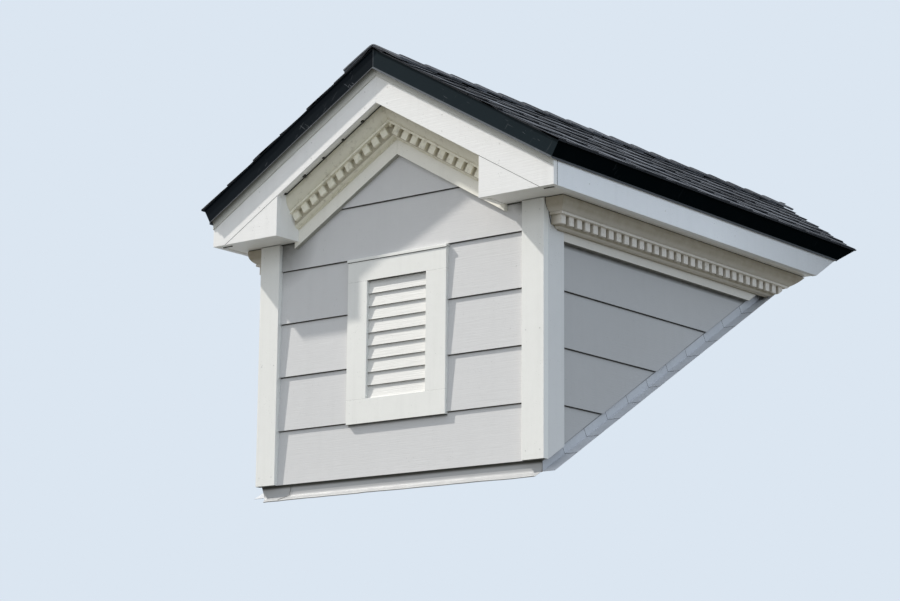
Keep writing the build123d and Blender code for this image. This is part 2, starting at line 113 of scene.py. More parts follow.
# Dentil mouldings: heights below the top, depth of the recess behind the dentils, and open joint
COVE_HEIGHT = 0.046
DENTILS_TOP = 0.050
DENTILS_LOW = 0.088
FOOT_TOP = 0.086
RECESS_OUT = 0.030
MOULDING_GAP = 0.0032

WELD = 1e-6
FLAT = math.radians(0.4)
SHARP = math.radians(25)
CREASE = math.radians(50)

# Camera that the photograph was taken with, as fitted to the dormer
PHOTO_WIDTH = 900
FOCAL_PIXELS = 2390.9
CAMERA_PLACE = (5.0705, -6.1989, -1.0772)
CAMERA_YAW = math.radians(38.307)
CAMERA_PITCH = math.radians(11.915)
CAMERA_ROLL = math.radians(0.477)
SENSOR = 36.0

VALUE = "NodeSocketFloat"
WHOLE = "NodeSocketInt"
COLOUR = "NodeSocketColor"
VECTOR = "NodeSocketVector"


def dormer():
    """Sizes and colours chosen for this scene."""
    return bpy.context.scene.dormer


def opaque(colour):
    return (*colour, 1.0)


class Nodes:
    """Adds nodes to one tree and joins them."""

    def __init__(self, tree):
        self.tree = tree

    def add(self, kind, inputs=None, **settings):
        """New node, its inputs set by name or number to a value or to another node's output."""
        node = self.tree.nodes.new(kind)
        node.location = (200 * len(self.tree.nodes), 0)
        for name, value in settings.items():
            setattr(node, name, value)
        for name, value in (inputs or {}).items():
            self.put(node.inputs[name], value)
        return node

    def give(self, kind, inputs=None, **settings):
        """First output of a new node."""
        return self.add(kind, inputs, **settings).outputs[0]

    def put(self, socket, value):
        if isinstance(value, bpy.types.NodeSocket):
            self.tree.links.new(value, socket)
        else:
            socket.default_value = value

    def math(self, operation, first, *others):
        """Operation on one value, on two, or on more in turn."""
        for other in others or (0.0,):
            first = self.give("ShaderNodeMath", {0: first, 1: other}, operation=operation)
        return first

    plus = partialmethod(math, "ADD")
    minus = partialmethod(math, "SUBTRACT")
    times = partialmethod(math, "MULTIPLY")
    over = partialmethod(math, "DIVIDE")
    most = partialmethod(math, "MAXIMUM")

    def vector_math(self, operation, first, second):
        return self.give("ShaderNodeVectorMath", {0: first, 1: second}, operation=operation)

    def vector_value(self, operation, first, second):
        """Number that an operation on two vectors gives."""
        return self.vector_math(operation, first, second).node.outputs["Value"]

    def scaled(self, vector, by):
        return self.give("ShaderNodeVectorMath", {0: vector, "Scale": by}, operation="SCALE")

    def split(self, vector):
        return self.add("ShaderNodeSeparateXYZ", {0: vector}).outputs

    def vector(self, x, y, z):
        return self.give("ShaderNodeCombineXYZ", {0: x, 1: y, 2: z})

    def noise(self, place, scale, detail=2.0, roughness=0.5):
        return self.give("ShaderNodeTexNoise", {"Vector": place, "Scale": scale, "Detail": detail,
                                                "Roughness": roughness})

    def mapped(self, place, turn, scale, kind="POINT"):
        return self.give("ShaderNodeMapping", {"Vector": place, "Rotation": turn, "Scale": scale},
                         vector_type=kind)

    def mask(self, value, low, high, start=0.0, end=1.0):
        """Start below a low value, end above a high one, and a slope between them."""
        return self.give("ShaderNodeMapRange", {0: value, 1: low, 2: high, 3: start, 4: end})

    def mix(self, share, first, second):
        inputs = {0: share, 6: first, 7: second}
        return self.add("ShaderNodeMix", inputs, data_type="RGBA").outputs[2]

    def stored(self, name, output="Fac"):
        """Attribute that the mesh stores."""
        return self.add("ShaderNodeAttribute", attribute_name=name).outputs[output]

    def object_place(self):
        return self.add("ShaderNodeTexCoord").outputs["Object"]

    def position(self):
        return self.give("GeometryNodeInputPosition")

    def chance(self, low, high, seed, number=None):
        """Random value between two values, from a seed and a piece's number."""
        inputs = {2: low, 3: high, 8: seed}
        if number is not None:
            inputs[7] = number
        return self.add("FunctionNodeRandomValue", inputs, data_type="FLOAT").outputs[1]

    def joined(self, *shapes):
        both = self.add("GeometryNodeJoinGeometry")
        for shape in shapes:
            self.put(both.inputs[0], shape)
        return both.outputs[0]


# Shader groups, each built once and used by several materials

def shader_group(name, inputs, outputs, fill):
    """Node group with named sockets; fill(nodes, start) gives what goes to each output."""
    found = bpy.data.node_groups.get(name)
    if found:
        return found
    tree = bpy.data.node_groups.new(name, "ShaderNodeTree")
    for label, kind in inputs.items():
        tree.interface.new_socket(label, in_out="INPUT", socket_type=kind)
    for label in outputs:
        kind = COLOUR if label == "Colour" else VALUE
        tree.interface.new_socket(label, in_out="OUTPUT", socket_type=kind)
    nodes = Nodes(tree)
    nodes.add("NodeGroupOutput", fill(nodes, nodes.add("NodeGroupInput").outputs))
    return tree


def paint_group():
    """Brushed house paint: faint strokes, soft tone, rain streaks, specks, and darkening from its input
    mask, which holds dirt and painted shade.
    """
    def fill(nodes, start):
        place = start["Place"]
        tone = nodes.noise(place, 1.7, 3.0)
        mottle = nodes.noise(place, 26.0, 4.0, 0.6)
        strokes = nodes.noise(start["Stroke"], 260.0, 3.0, 0.55)
        runs = nodes.noise(nodes.vector_math("MULTIPLY", place, (34.0, 34.0, 1.6)), 1.0, 3.0)
        speck = nodes.mask(nodes.noise(place, 310.0, 1.0), 0.735, 0.765)
        patch = nodes.mask(nodes.noise(place, 11.0, 2.0), 0.5, 0.62)
        speck = nodes.times(speck, patch, 0.6)
        run = nodes.times(nodes.mask(runs, 0.52, 0.78), start["Dirt"])
        film = nodes.times(nodes.mask(mottle, 0.3, 0.7, 0.84, 1.0), start["Grime"])
        # Real specks and runs, together with the input mask's dirt and painted shade
        dirt = nodes.math("MINIMUM", nodes.plus(speck, run, film), 1.0)
        shade = nodes.times(nodes.mask(tone, 0.3, 0.7, 0.975, 1.01),
                            nodes.mask(mottle, 0.25, 0.75, 0.985, 1.01))
        return {
            "Colour": nodes.mix(dirt, nodes.scaled(start["Paint"], shade), start["Dirt colour"]),
            "Roughness": nodes.mask(dirt, 0.0, 1.0, 0.46, 0.85),
            "Height": nodes.plus(strokes, nodes.times(mottle, 0.7)),
        }

    inputs = {"Place": VECTOR, "Stroke": VECTOR, "Paint": COLOUR, "Dirt colour": COLOUR,
              "Dirt": VALUE, "Grime": VALUE}
    return shader_group("Brushed paint", inputs, ("Colour", "Roughness", "Height"), fill)


def granule_group():
    """Mineral granules: fine grains of two colours over soft patches."""
    def fill(nodes, start):
        place = start["Place"]
        grain = nodes.noise(place, 620.0, 2.0, 0.7)
        coarse = nodes.noise(place, 150.0, 2.0)
        patch = nodes.noise(place, 7.0, 3.0)
        level = nodes.plus(nodes.times(start["Shade"], 0.42),
                           nodes.mask(patch, 0.3, 0.7, 0.0, 0.22),
                           nodes.mask(grain, 0.38, 0.68, -0.09, 0.29))
        warm = nodes.mask(nodes.noise(place, 380.0, 1.0), 0.6, 0.68, 0.0, 0.55)
        colour = nodes.mix(level, start["Dark"], start["Light"])
        return {
            "Colour": nodes.mix(warm, colour, start["Fleck"]),
            "Height": nodes.plus(grain, nodes.times(coarse, 0.6)),
        }

    inputs = {"Place": VECTOR, "Dark": COLOUR, "Light": COLOUR, "Fleck": COLOUR, "Shade": VALUE}
    return shader_group("Mineral granules", inputs, ("Colour", "Height"), fill)


def grain_group():
    """Sawn softwood: long grain, soft rings and a tone for each board."""
    def fill(nodes, start):
        place = start["Place"]
        fine = nodes.noise(place, 120.0, 5.0, 0.65)
        wide = nodes.noise(place, 16.0, 2.0)
        rings = nodes.add("ShaderNodeTexWave", {"Vector": place, "Scale": 9.0, "Distortion": 7.0,
                                                "Detail": 2.0, "Detail Scale": 1.4},
                          bands_direction="DIAGONAL").outputs["Fac"]
        level = nodes.plus(nodes.times(nodes.mask(rings, 0.35, 0.95), 0.32),
                           nodes.mask(fine, 0.4, 0.75, 0.0, 0.4),
                           nodes.mask(wide, 0.3, 0.7, -0.08, 0.18),
                           nodes.mask(start["Shade"], 0.0, 1.0, -0.12, 0.2))
        return {
            "Colour": nodes.mix(level, start["Pale"], start["Dark"]),
            "Height": nodes.plus(fine, nodes.times(rings, 0.5)),
        }

    inputs = {"Place": VECTOR, "Pale": COLOUR, "Dark": COLOUR, "Shade": VALUE}
    return shader_group("Sawn grain", inputs, ("Colour", "Height"), fill)


def wear_group():
    """Sheet metal out of doors: scratches in two directions, dust and dull patches."""
    def fill(nodes, start):
        place = start["Place"]
        first = nodes.mapped(place, (0.0, 0.5, 0.8), (0.0035, 0.06, 0.06), "TEXTURE")
        second = nodes.mapped(place, (0.4, -0.7, -0.9), (0.0040, 0.05, 0.05), "TEXTURE")
        scratch = nodes.most(nodes.mask(nodes.noise(first, 1.0, 1.0), 0.69, 0.72),
                             nodes.mask(nodes.noise(second, 1.0, 1.0), 0.70, 0.73))
        where = nodes.mask(nodes.noise(place, 5.0, 3.0), 0.5, 0.66)
        scratch = nodes.times(scratch, where, start["Wear"])
        dust = nodes.mask(nodes.noise(place, 13.0, 5.0, 0.65), 0.42, 0.8, 0.0, 0.5)
        dust = nodes.times(dust, start["Dust"])
        return {
            "Colour": nodes.mix(nodes.most(scratch, dust), start["Coat"], start["Worn"]),
            "Roughness": nodes.mask(nodes.plus(dust, scratch), 0.0, 0.6, 0.34, 0.72),
            "Height": nodes.noise(place, 9.0, 2.0),
        }

    inputs = {"Place": VECTOR, "Coat": COLOUR, "Worn": COLOUR, "Wear": VALUE, "Dust": VALUE}
    return shader_group("Weathered sheet metal", inputs, ("Colour", "Roughness", "Height"), fill)


# Materials

def new_material(name):
    """Empty material with a Principled shader; gives the material, its nodes and the shader."""
    made = bpy.data.materials.new(name)
    made.use_nodes = True
    made.node_tree.nodes.clear()
    nodes = Nodes(made.node_tree)
    shader = nodes.add("ShaderNodeBsdfPrincipled")
    nodes.add("ShaderNodeOutputMaterial", {"Surface": shader.outputs[0]})
    return made, nodes, shader


def set_shader(nodes, shader, colour, roughness, gloss, height, depth):
    """Colour, roughness, gloss and bump of a shader; a plain number is set on its own socket."""
    nodes.put(shader.inputs["Base Color"], colour)
    nodes.put(shader.inputs["Roughness"], roughness)
    nodes.put(shader.inputs["Specular IOR Level"], gloss)
    nodes.put(shader.inputs["Normal"], nodes.give("ShaderNodeBump", {"Height": height, "Distance": depth}))


def stretched(nodes, place, along, tilt):
    """Object coordinates drawn out along X, Y or Z, turned by tilt in the front's plane."""
    scale = [1.0, 1.0, 1.0]
    scale["XYZ".index(along)] = 0.04
    return nodes.mapped(place, (0.0, tilt, 0.0), scale)


def dirt_and_painted_light(nodes, place, grime):
    """Mask that the mesh stores, or more where the function puts it: dirt, painted shade and painted
    highlights.
    """
    dirt = nodes.stored("grime")
    return nodes.most(dirt, grime(nodes, place)) if grime else dirt


def board_paint(name, colour, along, grime=None, tilt=0.0, dirt=0.04, relief=0.0005, dirt_colour=None):
    """Paint on boards, brushed along X, Y or Z."""
    # The dark colour and the mask give dirt and painted shade alike
    made, nodes, shader = new_material(name)
    place = nodes.object_place()
    paint = nodes.add("ShaderNodeGroup", node_tree=paint_group())
    values = {"Place": place, "Stroke": stretched(nodes, place, along, tilt), "Paint": opaque(colour),
              "Dirt colour": opaque(dirt_colour or dormer().finish.dirt), "Dirt": dirt,
              "Grime": dirt_and_painted_light(nodes, place, grime)}
    fill_group(nodes, paint, values)
    set_shader(nodes, shader, paint.outputs["Colour"], paint.outputs["Roughness"], 0.3,
               paint.outputs["Height"], relief)
    return made


def fill_group(nodes, group, values):
    for label, value in values.items():
        nodes.put(group.inputs[label], value)


def near_point(nodes, place, point, radius):
    """Mask that fades from 1 at a point to 0 at a radius."""
    return nodes.mask(nodes.vector_value("DISTANCE", place, point), 0.0, radius, 1.0, 0.0)


def under_laps(nodes, place):
    """Painted shade: a dark line on each board, close under the edge of the next one up."""
    height = nodes.minus(nodes.split(place)[2], FOOT_Z)
    share = nodes.math("FRACT", nodes.over(height, SIDING_EXPOSURE))
    return nodes.mask(share, 1 - 0.0050 / SIDING_EXPOSURE, 1 - 0.0020 / SIDING_EXPOSURE, 0.0, 0.8)


def under_eaves(nodes, place):
    """Darkening in the corners under the boxed returns, dirt and painted shade; painted shade under the
    laps; and a painted shadow in a line under the vent's sill.
    """
    left = near_point(nodes, place, (-TRIM_X + CORNER_WIDTH, SHEATH_Y, SOFFIT_Z), 0.17)
    right = near_point(nodes, place, (TRIM_X - CORNER_WIDTH, SHEATH_Y, SOFFIT_Z), 0.05)
    corners = nodes.times(nodes.most(left, right), 0.9)
    sill = CASING_LOW.z
    across, _, height = nodes.split(place)
    line = nodes.times(nodes.mask(height, sill - 0.009, sill - 0.002),
                       nodes.math("LESS_THAN", height, sill + 0.002),
                       nodes.math("LESS_THAN", nodes.math("ABSOLUTE", across), CASING_HIGH.x), 0.75)
    return nodes.most(corners, under_laps(nodes, place), line)


def top_of_boards(nodes, place):
    """Darkening on the top few centimetres, just under the soffit: dirt and painted shade."""
    return nodes.mask(nodes.split(place)[2], SOFFIT_Z - 0.09, SOFFIT_Z, 0.0, 0.24)


def stains(nodes, place):
    """Patches of old dirt a few centimetres wide."""
    return nodes.mask(nodes.noise(place, 42.0, 3.0, 0.6), 0.5, 0.72, 0.0, 0.45)


def towards_house(nodes, place):
    """Darkening on the fascias towards the house roof, painted shade of the house roof that the scene leaves
    out, and a little all along the left one, which faces the key light: painted shade.
    """
    across, back, _ = nodes.split(place)
    far = nodes.mask(back, 0.75, 1.6, 0.0, 0.40)
    return nodes.most(far, nodes.mask(across, -0.01, 0.01, 0.13, 0.0))


def under_frieze(nodes, place):
    """Painted shade: dark lines on the cheeks' siding, close under the frieze board and under the laps."""
    top = nodes.mask(nodes.split(place)[2], FRIEZE_Z - 0.017, FRIEZE_Z - 0.004, 0.0, 0.85)
    return nodes.most(top, under_laps(nodes, place))


def under_boards(depth):
    """Painted shade on the flashing close under the boards' lower ends."""
    def grime(nodes, place):
        height = nodes.vector_value("DOT_PRODUCT", place, tuple(OFF_HOUSE))
        return nodes.mask(height, TRIM_LIFT - depth, TRIM_LIFT - 0.4 * depth, 0.0, 0.95)
    return grime


def peak_joint(nodes, place):
    """Bright edge where one rake's metal laps over the other at the peak."""
    across = nodes.math("ABSOLUTE", nodes.split(place)[0])
    return nodes.mask(across, 0.0006, 0.0018, 0.55, 0.0)


def bare_wood():
    """Softwood whose grain runs along each board and differs from board to board."""
    made, nodes, shader = new_material("Bare wood")
    place = nodes.object_place()
    finish = dormer().finish
    grain = nodes.stored("grain", "Vector")
    shade = nodes.stored("shade")
    along = nodes.times(nodes.vector_value("DOT_PRODUCT", place, grain), 0.96)
    place = nodes.vector_math("SUBTRACT", place, nodes.scaled(grain, along))
    place = nodes.vector_math("ADD", place, nodes.scaled((5.3, 7.1, 3.9), shade))
    wood = nodes.add("ShaderNodeGroup", node_tree=grain_group())
    fill_group(nodes, wood, {"Place": place, "Pale": opaque(finish.wood_pale),
                             "Dark": opaque(finish.wood_dark), "Shade": shade})
    set_shader(nodes, shader, wood.outputs["Colour"], 0.78, 0.3, wood.outputs["Height"], 0.0008)
    return made


def strand_board():
    """Sheathing pressed from wood strands that lie every way."""
    made, nodes, shader = new_material("Strand board")
    place = nodes.object_place()
    finish = dormer().finish
    tones, edges = [], []
    for turn, reach in (((0.4, 0.3, 0.5), 26.0), ((0.2, -0.5, 2.1), 21.0)):
        laid = nodes.mapped(place, turn, (1.0, 0.28, 0.6))
        cell = nodes.add("ShaderNodeTexVoronoi", {"Vector": laid, "Scale": reach}).outputs
        tones.append(nodes.split(cell["Color"])[0])
        edges.append(nodes.mask(cell["Distance"], 0.2, 0.75))
    fine = nodes.noise(place, 160.0, 4.0, 0.6)
    level = nodes.plus(nodes.times(nodes.plus(*tones), 0.5), nodes.mask(fine, 0.35, 0.7, -0.15, 0.2))
    colour = nodes.mix(level, opaque(finish.wood_pale), opaque(finish.wood_dark))
    set_shader(nodes, shader, colour, 0.82, 0.5, nodes.most(*edges), 0.0009)
    return made


def sheet_metal(name, coat, worn, wear, dust, gloss, marked=None, grime=None):
    """Coated sheet metal, with another colour on marked faces and where the function puts it."""
    made, nodes, shader = new_material(name)
    place = nodes.object_place()
    metal = nodes.add("ShaderNodeGroup", node_tree=wear_group())
    fill_group(nodes, metal, {"Place": place, "Coat": opaque(coat), "Worn": opaque(worn), "Wear": wear,
                              "Dust": dust})
    colour = nodes.mix(dirt_and_painted_light(nodes, place, grime), metal.outputs["Colour"], opaque(marked or worn))
    set_shader(nodes, shader, colour, metal.outputs["Roughness"], gloss, metal.outputs["Height"], 0.0012)
    return made


def granule_material(name):
    """Shingle granules, with bare dark edges on the marked faces."""
    made, nodes, shader = new_material(name)
    place = nodes.object_place()
    roofing = dormer().roofing
    granules = nodes.add("ShaderNodeGroup", node_tree=granule_group())
    fill_group(nodes, granules, {"Place": place, "Dark": opaque(roofing.dark),
                                 "Light": opaque(roofing.light), "Fleck": opaque(roofing.fleck),
                                 "Shade": nodes.stored("shade")})
    colour = nodes.mix(nodes.stored("grime"), granules.outputs["Colour"], opaque(roofing.edge))
    set_shader(nodes, shader, colour, 0.93, 0.25, granules.outputs["Height"], 0.0013)
    return made


def material(name, build, *values, **settings):
    """Material of that name, built the first time."""
    return bpy.data.materials.get(name) or build(name, *values, **settings)


def white_paint(along, part="trim", tilt=0.0, grime=None):
    """Paint of one of the finish's whites, brushed along a board; the whites other than the trim's are
    lighter and darker copies, painted light and shade.
    """
    name = f"White paint {part} {along} {round(math.degrees(tilt))}"
    return material(name, board_paint, getattr(dormer().finish, part), along, grime=grime, tilt=tilt)


# Shapes

def roof_depth(point):
    """Depth of a point below the deck's top, square to the slope."""
    return (RIDGE_Z - SLOPE * abs(point.x) - point.z) * RUN


def solid_copy(*names):
    """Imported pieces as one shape, with triangles merged and flat faces whole."""
    shape = bmesh.new()
    for name in names:
        shape.from_mesh(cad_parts[name].data)
    bmesh.ops.remove_doubles(shape, verts=shape.verts, dist=WELD)
    bmesh.ops.dissolve_limit(shape, angle_limit=FLAT, verts=shape.verts, edges=shape.edges)
    return shape


def shift(shape, by):
    bmesh.ops.translate(shape, verts=shape.verts, vec=by)


def cut(shape, point, normal):
    """Keeps what lies on the side of a plane that its normal points to, and closes the cut."""
    everything = shape.verts[:] + shape.edges[:] + shape.faces[:]
    bmesh.ops.bisect_plane(shape, geom=everything, dist=1e-7, plane_co=point, plane_no=normal,
                           clear_inner=True)
    rims = [edge for edge in shape.edges if edge.is_boundary]
    if rims:
        bmesh.ops.holes_fill(shape, edges=rims, sides=0)


def add_shape(shape, other):
    """Puts a second shape into the first, and frees it."""
    mesh = bpy.data.meshes.new("part")
    other.to_mesh(mesh)
    other.free()
    shape.from_mesh(mesh)
    bpy.data.meshes.remove(mesh)


def loose_boards(shape):
    """Faces of each loose board in turn."""
    for face in shape.faces:
        face.tag = False
    for face in shape.faces:
        if face.tag:
            continue
        face.tag = True
        board = [face]
        for here in board:
            for edge in here.edges:
                for neighbour in edge.link_faces:
                    if not neighbour.tag:
                        neighbour.tag = True
                        board.append(neighbour)
        yield board


def mark_boards(shape, seed):
    """Gives each loose board its own shade from 0 to 1, and its grain the way of its longest edge."""
    shades = shape.faces.layers.float.new("shade")
    grains = shape.faces.layers.float_vector.new("grain")
    chance = random.Random(seed)
    for board in loose_boards(shape):
        edges = (edge for face in board for edge in face.edges)
        ends = max(edges, key=lambda edge: edge.calc_length()).verts
        grain = (ends[1].co - ends[0].co).normalized()
        shade = chance.random()
        for face in board:
            face[shades] = shade
            face[grains] = grain


def mark_dirt_and_painted_light(shape, dirty, amount=1.0):
    """Marks the faces that the test picks, from their middle and normal, for dirt, painted shade and painted
    highlights, as each caller's comment says.
    """
    layer = shape.faces.layers.float.get("grime") or shape.faces.layers.float.new("grime")
    for face in shape.faces:
        if dirty(face.calc_center_median(), face.normal):
            face[layer] = amount


def faces_down(middle, normal):
    return normal.z < -0.5


def mark_edges(shape):
    """Gives the outward edges, which are to be rounded, their weight."""
    layer = shape.edges.layers.float.get("bevel_weight_edge")
    layer = layer or shape.edges.layers.float.new("bevel_weight_edge")
    for edge in shape.edges:
        if len(edge.link_faces) == 2:
            edge[layer] = 1.0 if edge.calc_face_angle_signed(0.0) > SHARP else 0.0


def set_normals(mesh):
    """Large faces stay flat, narrow faces turn between them, and creases stay sharp."""
    shape = bmesh.new()
    shape.from_mesh(mesh)
    number = {}
    for face in shape.faces:
        for loop in face.loops:
            number[loop] = len(number)
    weighted = {face: face.normal * face.calc_area() ** 2 for face in shape.faces}
    normals = [UP] * len(number)
    for vert in shape.verts:
        around = {loop.face: loop for loop in vert.link_loops}
        while around:
            group = [next(iter(around))]
            loops = [around.pop(group[0])]
            for face in group:
                for edge in face.edges:
                    if vert not in edge.verts or edge.calc_face_angle(math.pi) > CREASE:
                        continue
                    for neighbour in edge.link_faces:
                        if neighbour in around:
                            group.append(neighbour)
                            loops.append(around.pop(neighbour))
            total = sum((weighted[face] for face in group), Vector())
            for loop in loops:
                normals[number[loop]] = total.normalized()
    shape.free()
    mesh.shade_smooth()
    mesh.normals_split_custom_set(normals)


def settle(piece):
    """Makes what the modifiers give the piece's own plain mesh."""
    graph = bpy.context.evaluated_depsgraph_get()
    mesh = bpy.data.meshes.new_from_object(piece.evaluated_get(graph),
                                           preserve_all_data_layers=True, depsgraph=graph)
    mesh.name = piece.name
    piece.modifiers.clear()
    piece.data = mesh


def link(name, mesh):
    piece = bpy.data.objects.new(name, mesh)
    bpy.context.scene.collection.objects.link(piece)
    return piece


def place_piece(name, shape, paint, nodes, radius=0.0, segments=2, sheet=0.0):
    """Finished piece from a shape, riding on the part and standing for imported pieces.

    A radius rounds its outward edges, and a sheet's thickness makes an open shape solid.
    """
    mark_edges(shape)
    mesh = bpy.data.meshes.new(name)
    shape.to_mesh(mesh)
    shape.free()
    mesh.materials.clear()
    mesh.materials.append(paint)
    piece = link(name, mesh)
    if radius:
        rounding = piece.modifiers.new("Rounded edges", "BEVEL")
        rounding.width = radius
        rounding.segments = segments
        rounding.limit_method = "WEIGHT"
        rounding.use_clamp_overlap = False
    if sheet:
        thicken = piece.modifiers.new("Sheet", "SOLIDIFY")
        thicken.thickness = sheet
        thicken.offset = 1.0
    if piece.modifiers:
        settle(piece)
    set_normals(piece.data)
    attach(piece, BODY)
    if nodes:
        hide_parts(*nodes)


# Geometry Nodes trees

def geometry_tree(name, inputs):
    """Geometry Nodes tree with named inputs; gives the tree, its nodes and the input sockets."""
    tree = bpy.data.node_groups.new(name, "GeometryNodeTree")
    tree.interface.new_socket("Geometry", in_out="INPUT", socket_type="NodeSocketGeometry")
    for label, kind in inputs.items():
        tree.interface.new_socket(label, in_out="INPUT", socket_type=kind)
    tree.interface.new_socket("Geometry", in_out="OUTPUT", socket_type="NodeSocketGeometry")
    nodes = Nodes(tree)
    return tree, nodes, nodes.add("NodeGroupInput").outputs


def end_tree(nodes, geometry, paint):
    """Ends a tree in Realize Instances and Set Material."""
    real = nodes.give("GeometryNodeRealizeInstances", {"Geometry": geometry})
    real = nodes.give("GeometryNodeSetMaterial", {"Geometry": real, "Material": paint})
    nodes.add("NodeGroupOutput", {"Geometry": real})


def grown_shape(tree, values, mesh=None):
    """Shape that a Geometry Nodes tree makes with these values."""
    piece = link("grown", mesh or bpy.data.meshes.new("grown"))
    modifier = piece.modifiers.new(tree.name, "NODES")
    modifier.node_group = tree
    for item in tree.interface.items_tree:
        if item.in_out == "INPUT" and item.name in values:
            modifier[item.identifier] = values[item.name]
    settle(piece)
    shape = bmesh.new()
    shape.from_mesh(piece.data)
    bpy.data.objects.remove(piece)
    return shape


def unit_box(nodes, across, along, up):
    """Box from 0 to 1 on each axis with that many points along each."""
    box = nodes.give("GeometryNodeMeshCube", {"Size": (1.0, 1.0, 1.0), "Vertices X": across,
                                              "Vertices Y": along, "Vertices Z": up})
    return nodes.give("GeometryNodeTransform", {"Geometry": box, "Translation": (0.5, 0.5, 0.5)})


def with_shade(nodes, points, seed):
    """Points that each store a random shade from 0 to 1."""
    return nodes.give("GeometryNodeStoreNamedAttribute", {
        "Geometry": points, "Name": "shade", "Value": nodes.chance(0.0, 1.0, seed)})


def rippled(nodes, instances, scale, reach):
    """Instances made real, their points moved a little by soft noise."""
    real = nodes.give("GeometryNodeRealizeInstances", {"Geometry": instances})
    wave = nodes.add("ShaderNodeTexNoise", {"Vector": nodes.position(), "Scale": scale, "Detail": 2.0})
    wave = nodes.vector_math("SUBTRACT", wave.outputs[1], (0.5, 0.5, 0.5))
    wave = nodes.vector_math("MULTIPLY", wave, reach)
    return nodes.give("GeometryNodeSetPosition", {"Geometry": real, "Offset": wave})


def spaced_points(nodes, curve, spacing):
    """Points along a curve."""
    spaced = nodes.add("GeometryNodeResampleCurve", {"Curve": curve}, mode="LENGTH")
    nodes.put(spaced.inputs["Length"], spacing)
    return spaced.outputs[0]


def shingle_tree(paint):
    """Laminated shingles on a flat slope: X along the eave, Y up the slope, Z off the deck."""
    tree, nodes, size = geometry_tree("Laminated shingles", {
        "Courses": WHOLE, "Exposure": VALUE, "Length": VALUE, "Sheet length": VALUE, "Joint": VALUE,
        "Sheet butt": VALUE, "Tab butt": VALUE, "Drop": VALUE, "Thinnest": VALUE, "Tab pitch": VALUE,
        "Tab width": VALUE, "Seed": WHOLE})
    tuck = nodes.plus(size["Exposure"], 0.002)

    def layer(spacing, slide, width, butt, setback, steps, seed, part):
        """One layer of wedges in rows, slid along each row by chance."""
        seeded = nodes.plus(size["Seed"], seed)
        columns = nodes.plus(nodes.math("CEIL", nodes.over(size["Length"], spacing)), 3)
        spread = nodes.times(spacing, nodes.minus(columns, 1))
        rows = nodes.times(size["Exposure"], nodes.minus(size["Courses"], 1))
        grid = nodes.give("GeometryNodeMeshGrid", {"Size X": spread, "Size Y": rows,
                                                   "Vertices X": columns, "Vertices Y": size["Courses"]})
        corner = nodes.vector(nodes.minus(nodes.times(spread, 0.5), spacing), nodes.times(rows, 0.5), 0.0)
        points = nodes.give("GeometryNodeTransform", {"Geometry": grid, "Translation": corner})
        row = nodes.math("ROUND", nodes.over(nodes.split(nodes.position())[1], size["Exposure"]))
        along = nodes.plus(nodes.times(spacing, nodes.chance(-0.9, 0.0, seeded, row)),
                           nodes.times(spacing, nodes.chance(-slide, slide, seeded)))
        points = nodes.give("GeometryNodeSetPosition", {"Geometry": points,
                                                        "Offset": nodes.vector(along, 0.0, 0.0)})
        x, y, z = nodes.split(nodes.position())
        top = nodes.most(nodes.minus(butt, nodes.times(y, size["Drop"])), size["Thinnest"])
        shaped = nodes.vector(nodes.times(x, width), nodes.plus(nodes.times(y, tuck), setback),
                              nodes.times(z, top))
        wedge = nodes.give("GeometryNodeSetPosition", {"Geometry": unit_box(nodes, steps, 5, 2),
                                                       "Position": shaped})
        return nodes.give("GeometryNodeInstanceOnPoints", {
            "Points": with_shade(nodes, points, nodes.plus(seeded, 7)), "Instance": wedge,
            "Scale": nodes.vector(part, 1.0, 1.0)})

    sheet = nodes.minus(size["Sheet length"], size["Joint"])
    sheets = layer(size["Sheet length"], 0.0, sheet, size["Sheet butt"], 0.0016, 50, 1, 1.0)
    wide = nodes.chance(0.62, 1.0, nodes.plus(size["Seed"], 31))
    tabs = layer(size["Tab pitch"], 0.09, size["Tab width"], size["Tab butt"], 0.0, 7, 2, wide)
    end_tree(nodes, rippled(nodes, nodes.joined(sheets, tabs), 21.0, (0.0, 0.005, 0.0010)), paint)
    return tree


def cap_tree(paint):
    """Ridge caps bent over the ridge: Y along it, each cap's thick edge to the front."""
    tree, nodes, size = geometry_tree("Ridge caps", {
        "Count": WHOLE, "Exposure": VALUE, "Cap length": VALUE, "Half width": VALUE,
        "Thickness": VALUE, "Slope": VALUE, "Bend": VALUE, "Tilt": VALUE, "Seed": WHOLE})
    grid = nodes.give("GeometryNodeMeshGrid", {
        "Size X": nodes.times(size["Half width"], 2.0), "Size Y": size["Cap length"],
        "Vertices X": 37, "Vertices Y": 7})
    across, along, _ = nodes.split(nodes.position())
    square = nodes.plus(nodes.times(across, across), nodes.times(size["Bend"], size["Bend"]))
    fall = nodes.times(nodes.math("SQRT", square), nodes.times(size["Slope"], -1.0))
    forward = nodes.plus(along, nodes.times(size["Cap length"], 0.5))
    bent = nodes.give("GeometryNodeSetPosition", {"Geometry": grid,
                                                  "Position": nodes.vector(across, forward, fall)})
    thick = nodes.give("GeometryNodeExtrudeMesh", {"Mesh": bent, "Offset Scale": size["Thickness"],
                                                   "Individual": False})
    under = nodes.give("GeometryNodeFlipFaces", {"Mesh": bent})
    cap = nodes.give("GeometryNodeMergeByDistance", {"Geometry": nodes.joined(thick, under),
                                                     "Distance": 1e-5})
    points = nodes.give("GeometryNodeMeshLine", {
        "Count": size["Count"], "Offset": nodes.vector(0.0, size["Exposure"], 0.0)})
    sway = nodes.chance(-0.012, 0.012, nodes.plus(size["Seed"], 3))
    turn = nodes.give("FunctionNodeEulerToRotation", {
        "Euler": nodes.vector(nodes.times(size["Tilt"], -1.0), 0.0, sway)})
    caps = nodes.give("GeometryNodeInstanceOnPoints", {
        "Points": with_shade(nodes, points, size["Seed"]), "Instance": cap, "Rotation": turn})
    end_tree(nodes, rippled(nodes, caps, 16.0, (0.003, 0.004, 0.0008)), paint)
    return tree


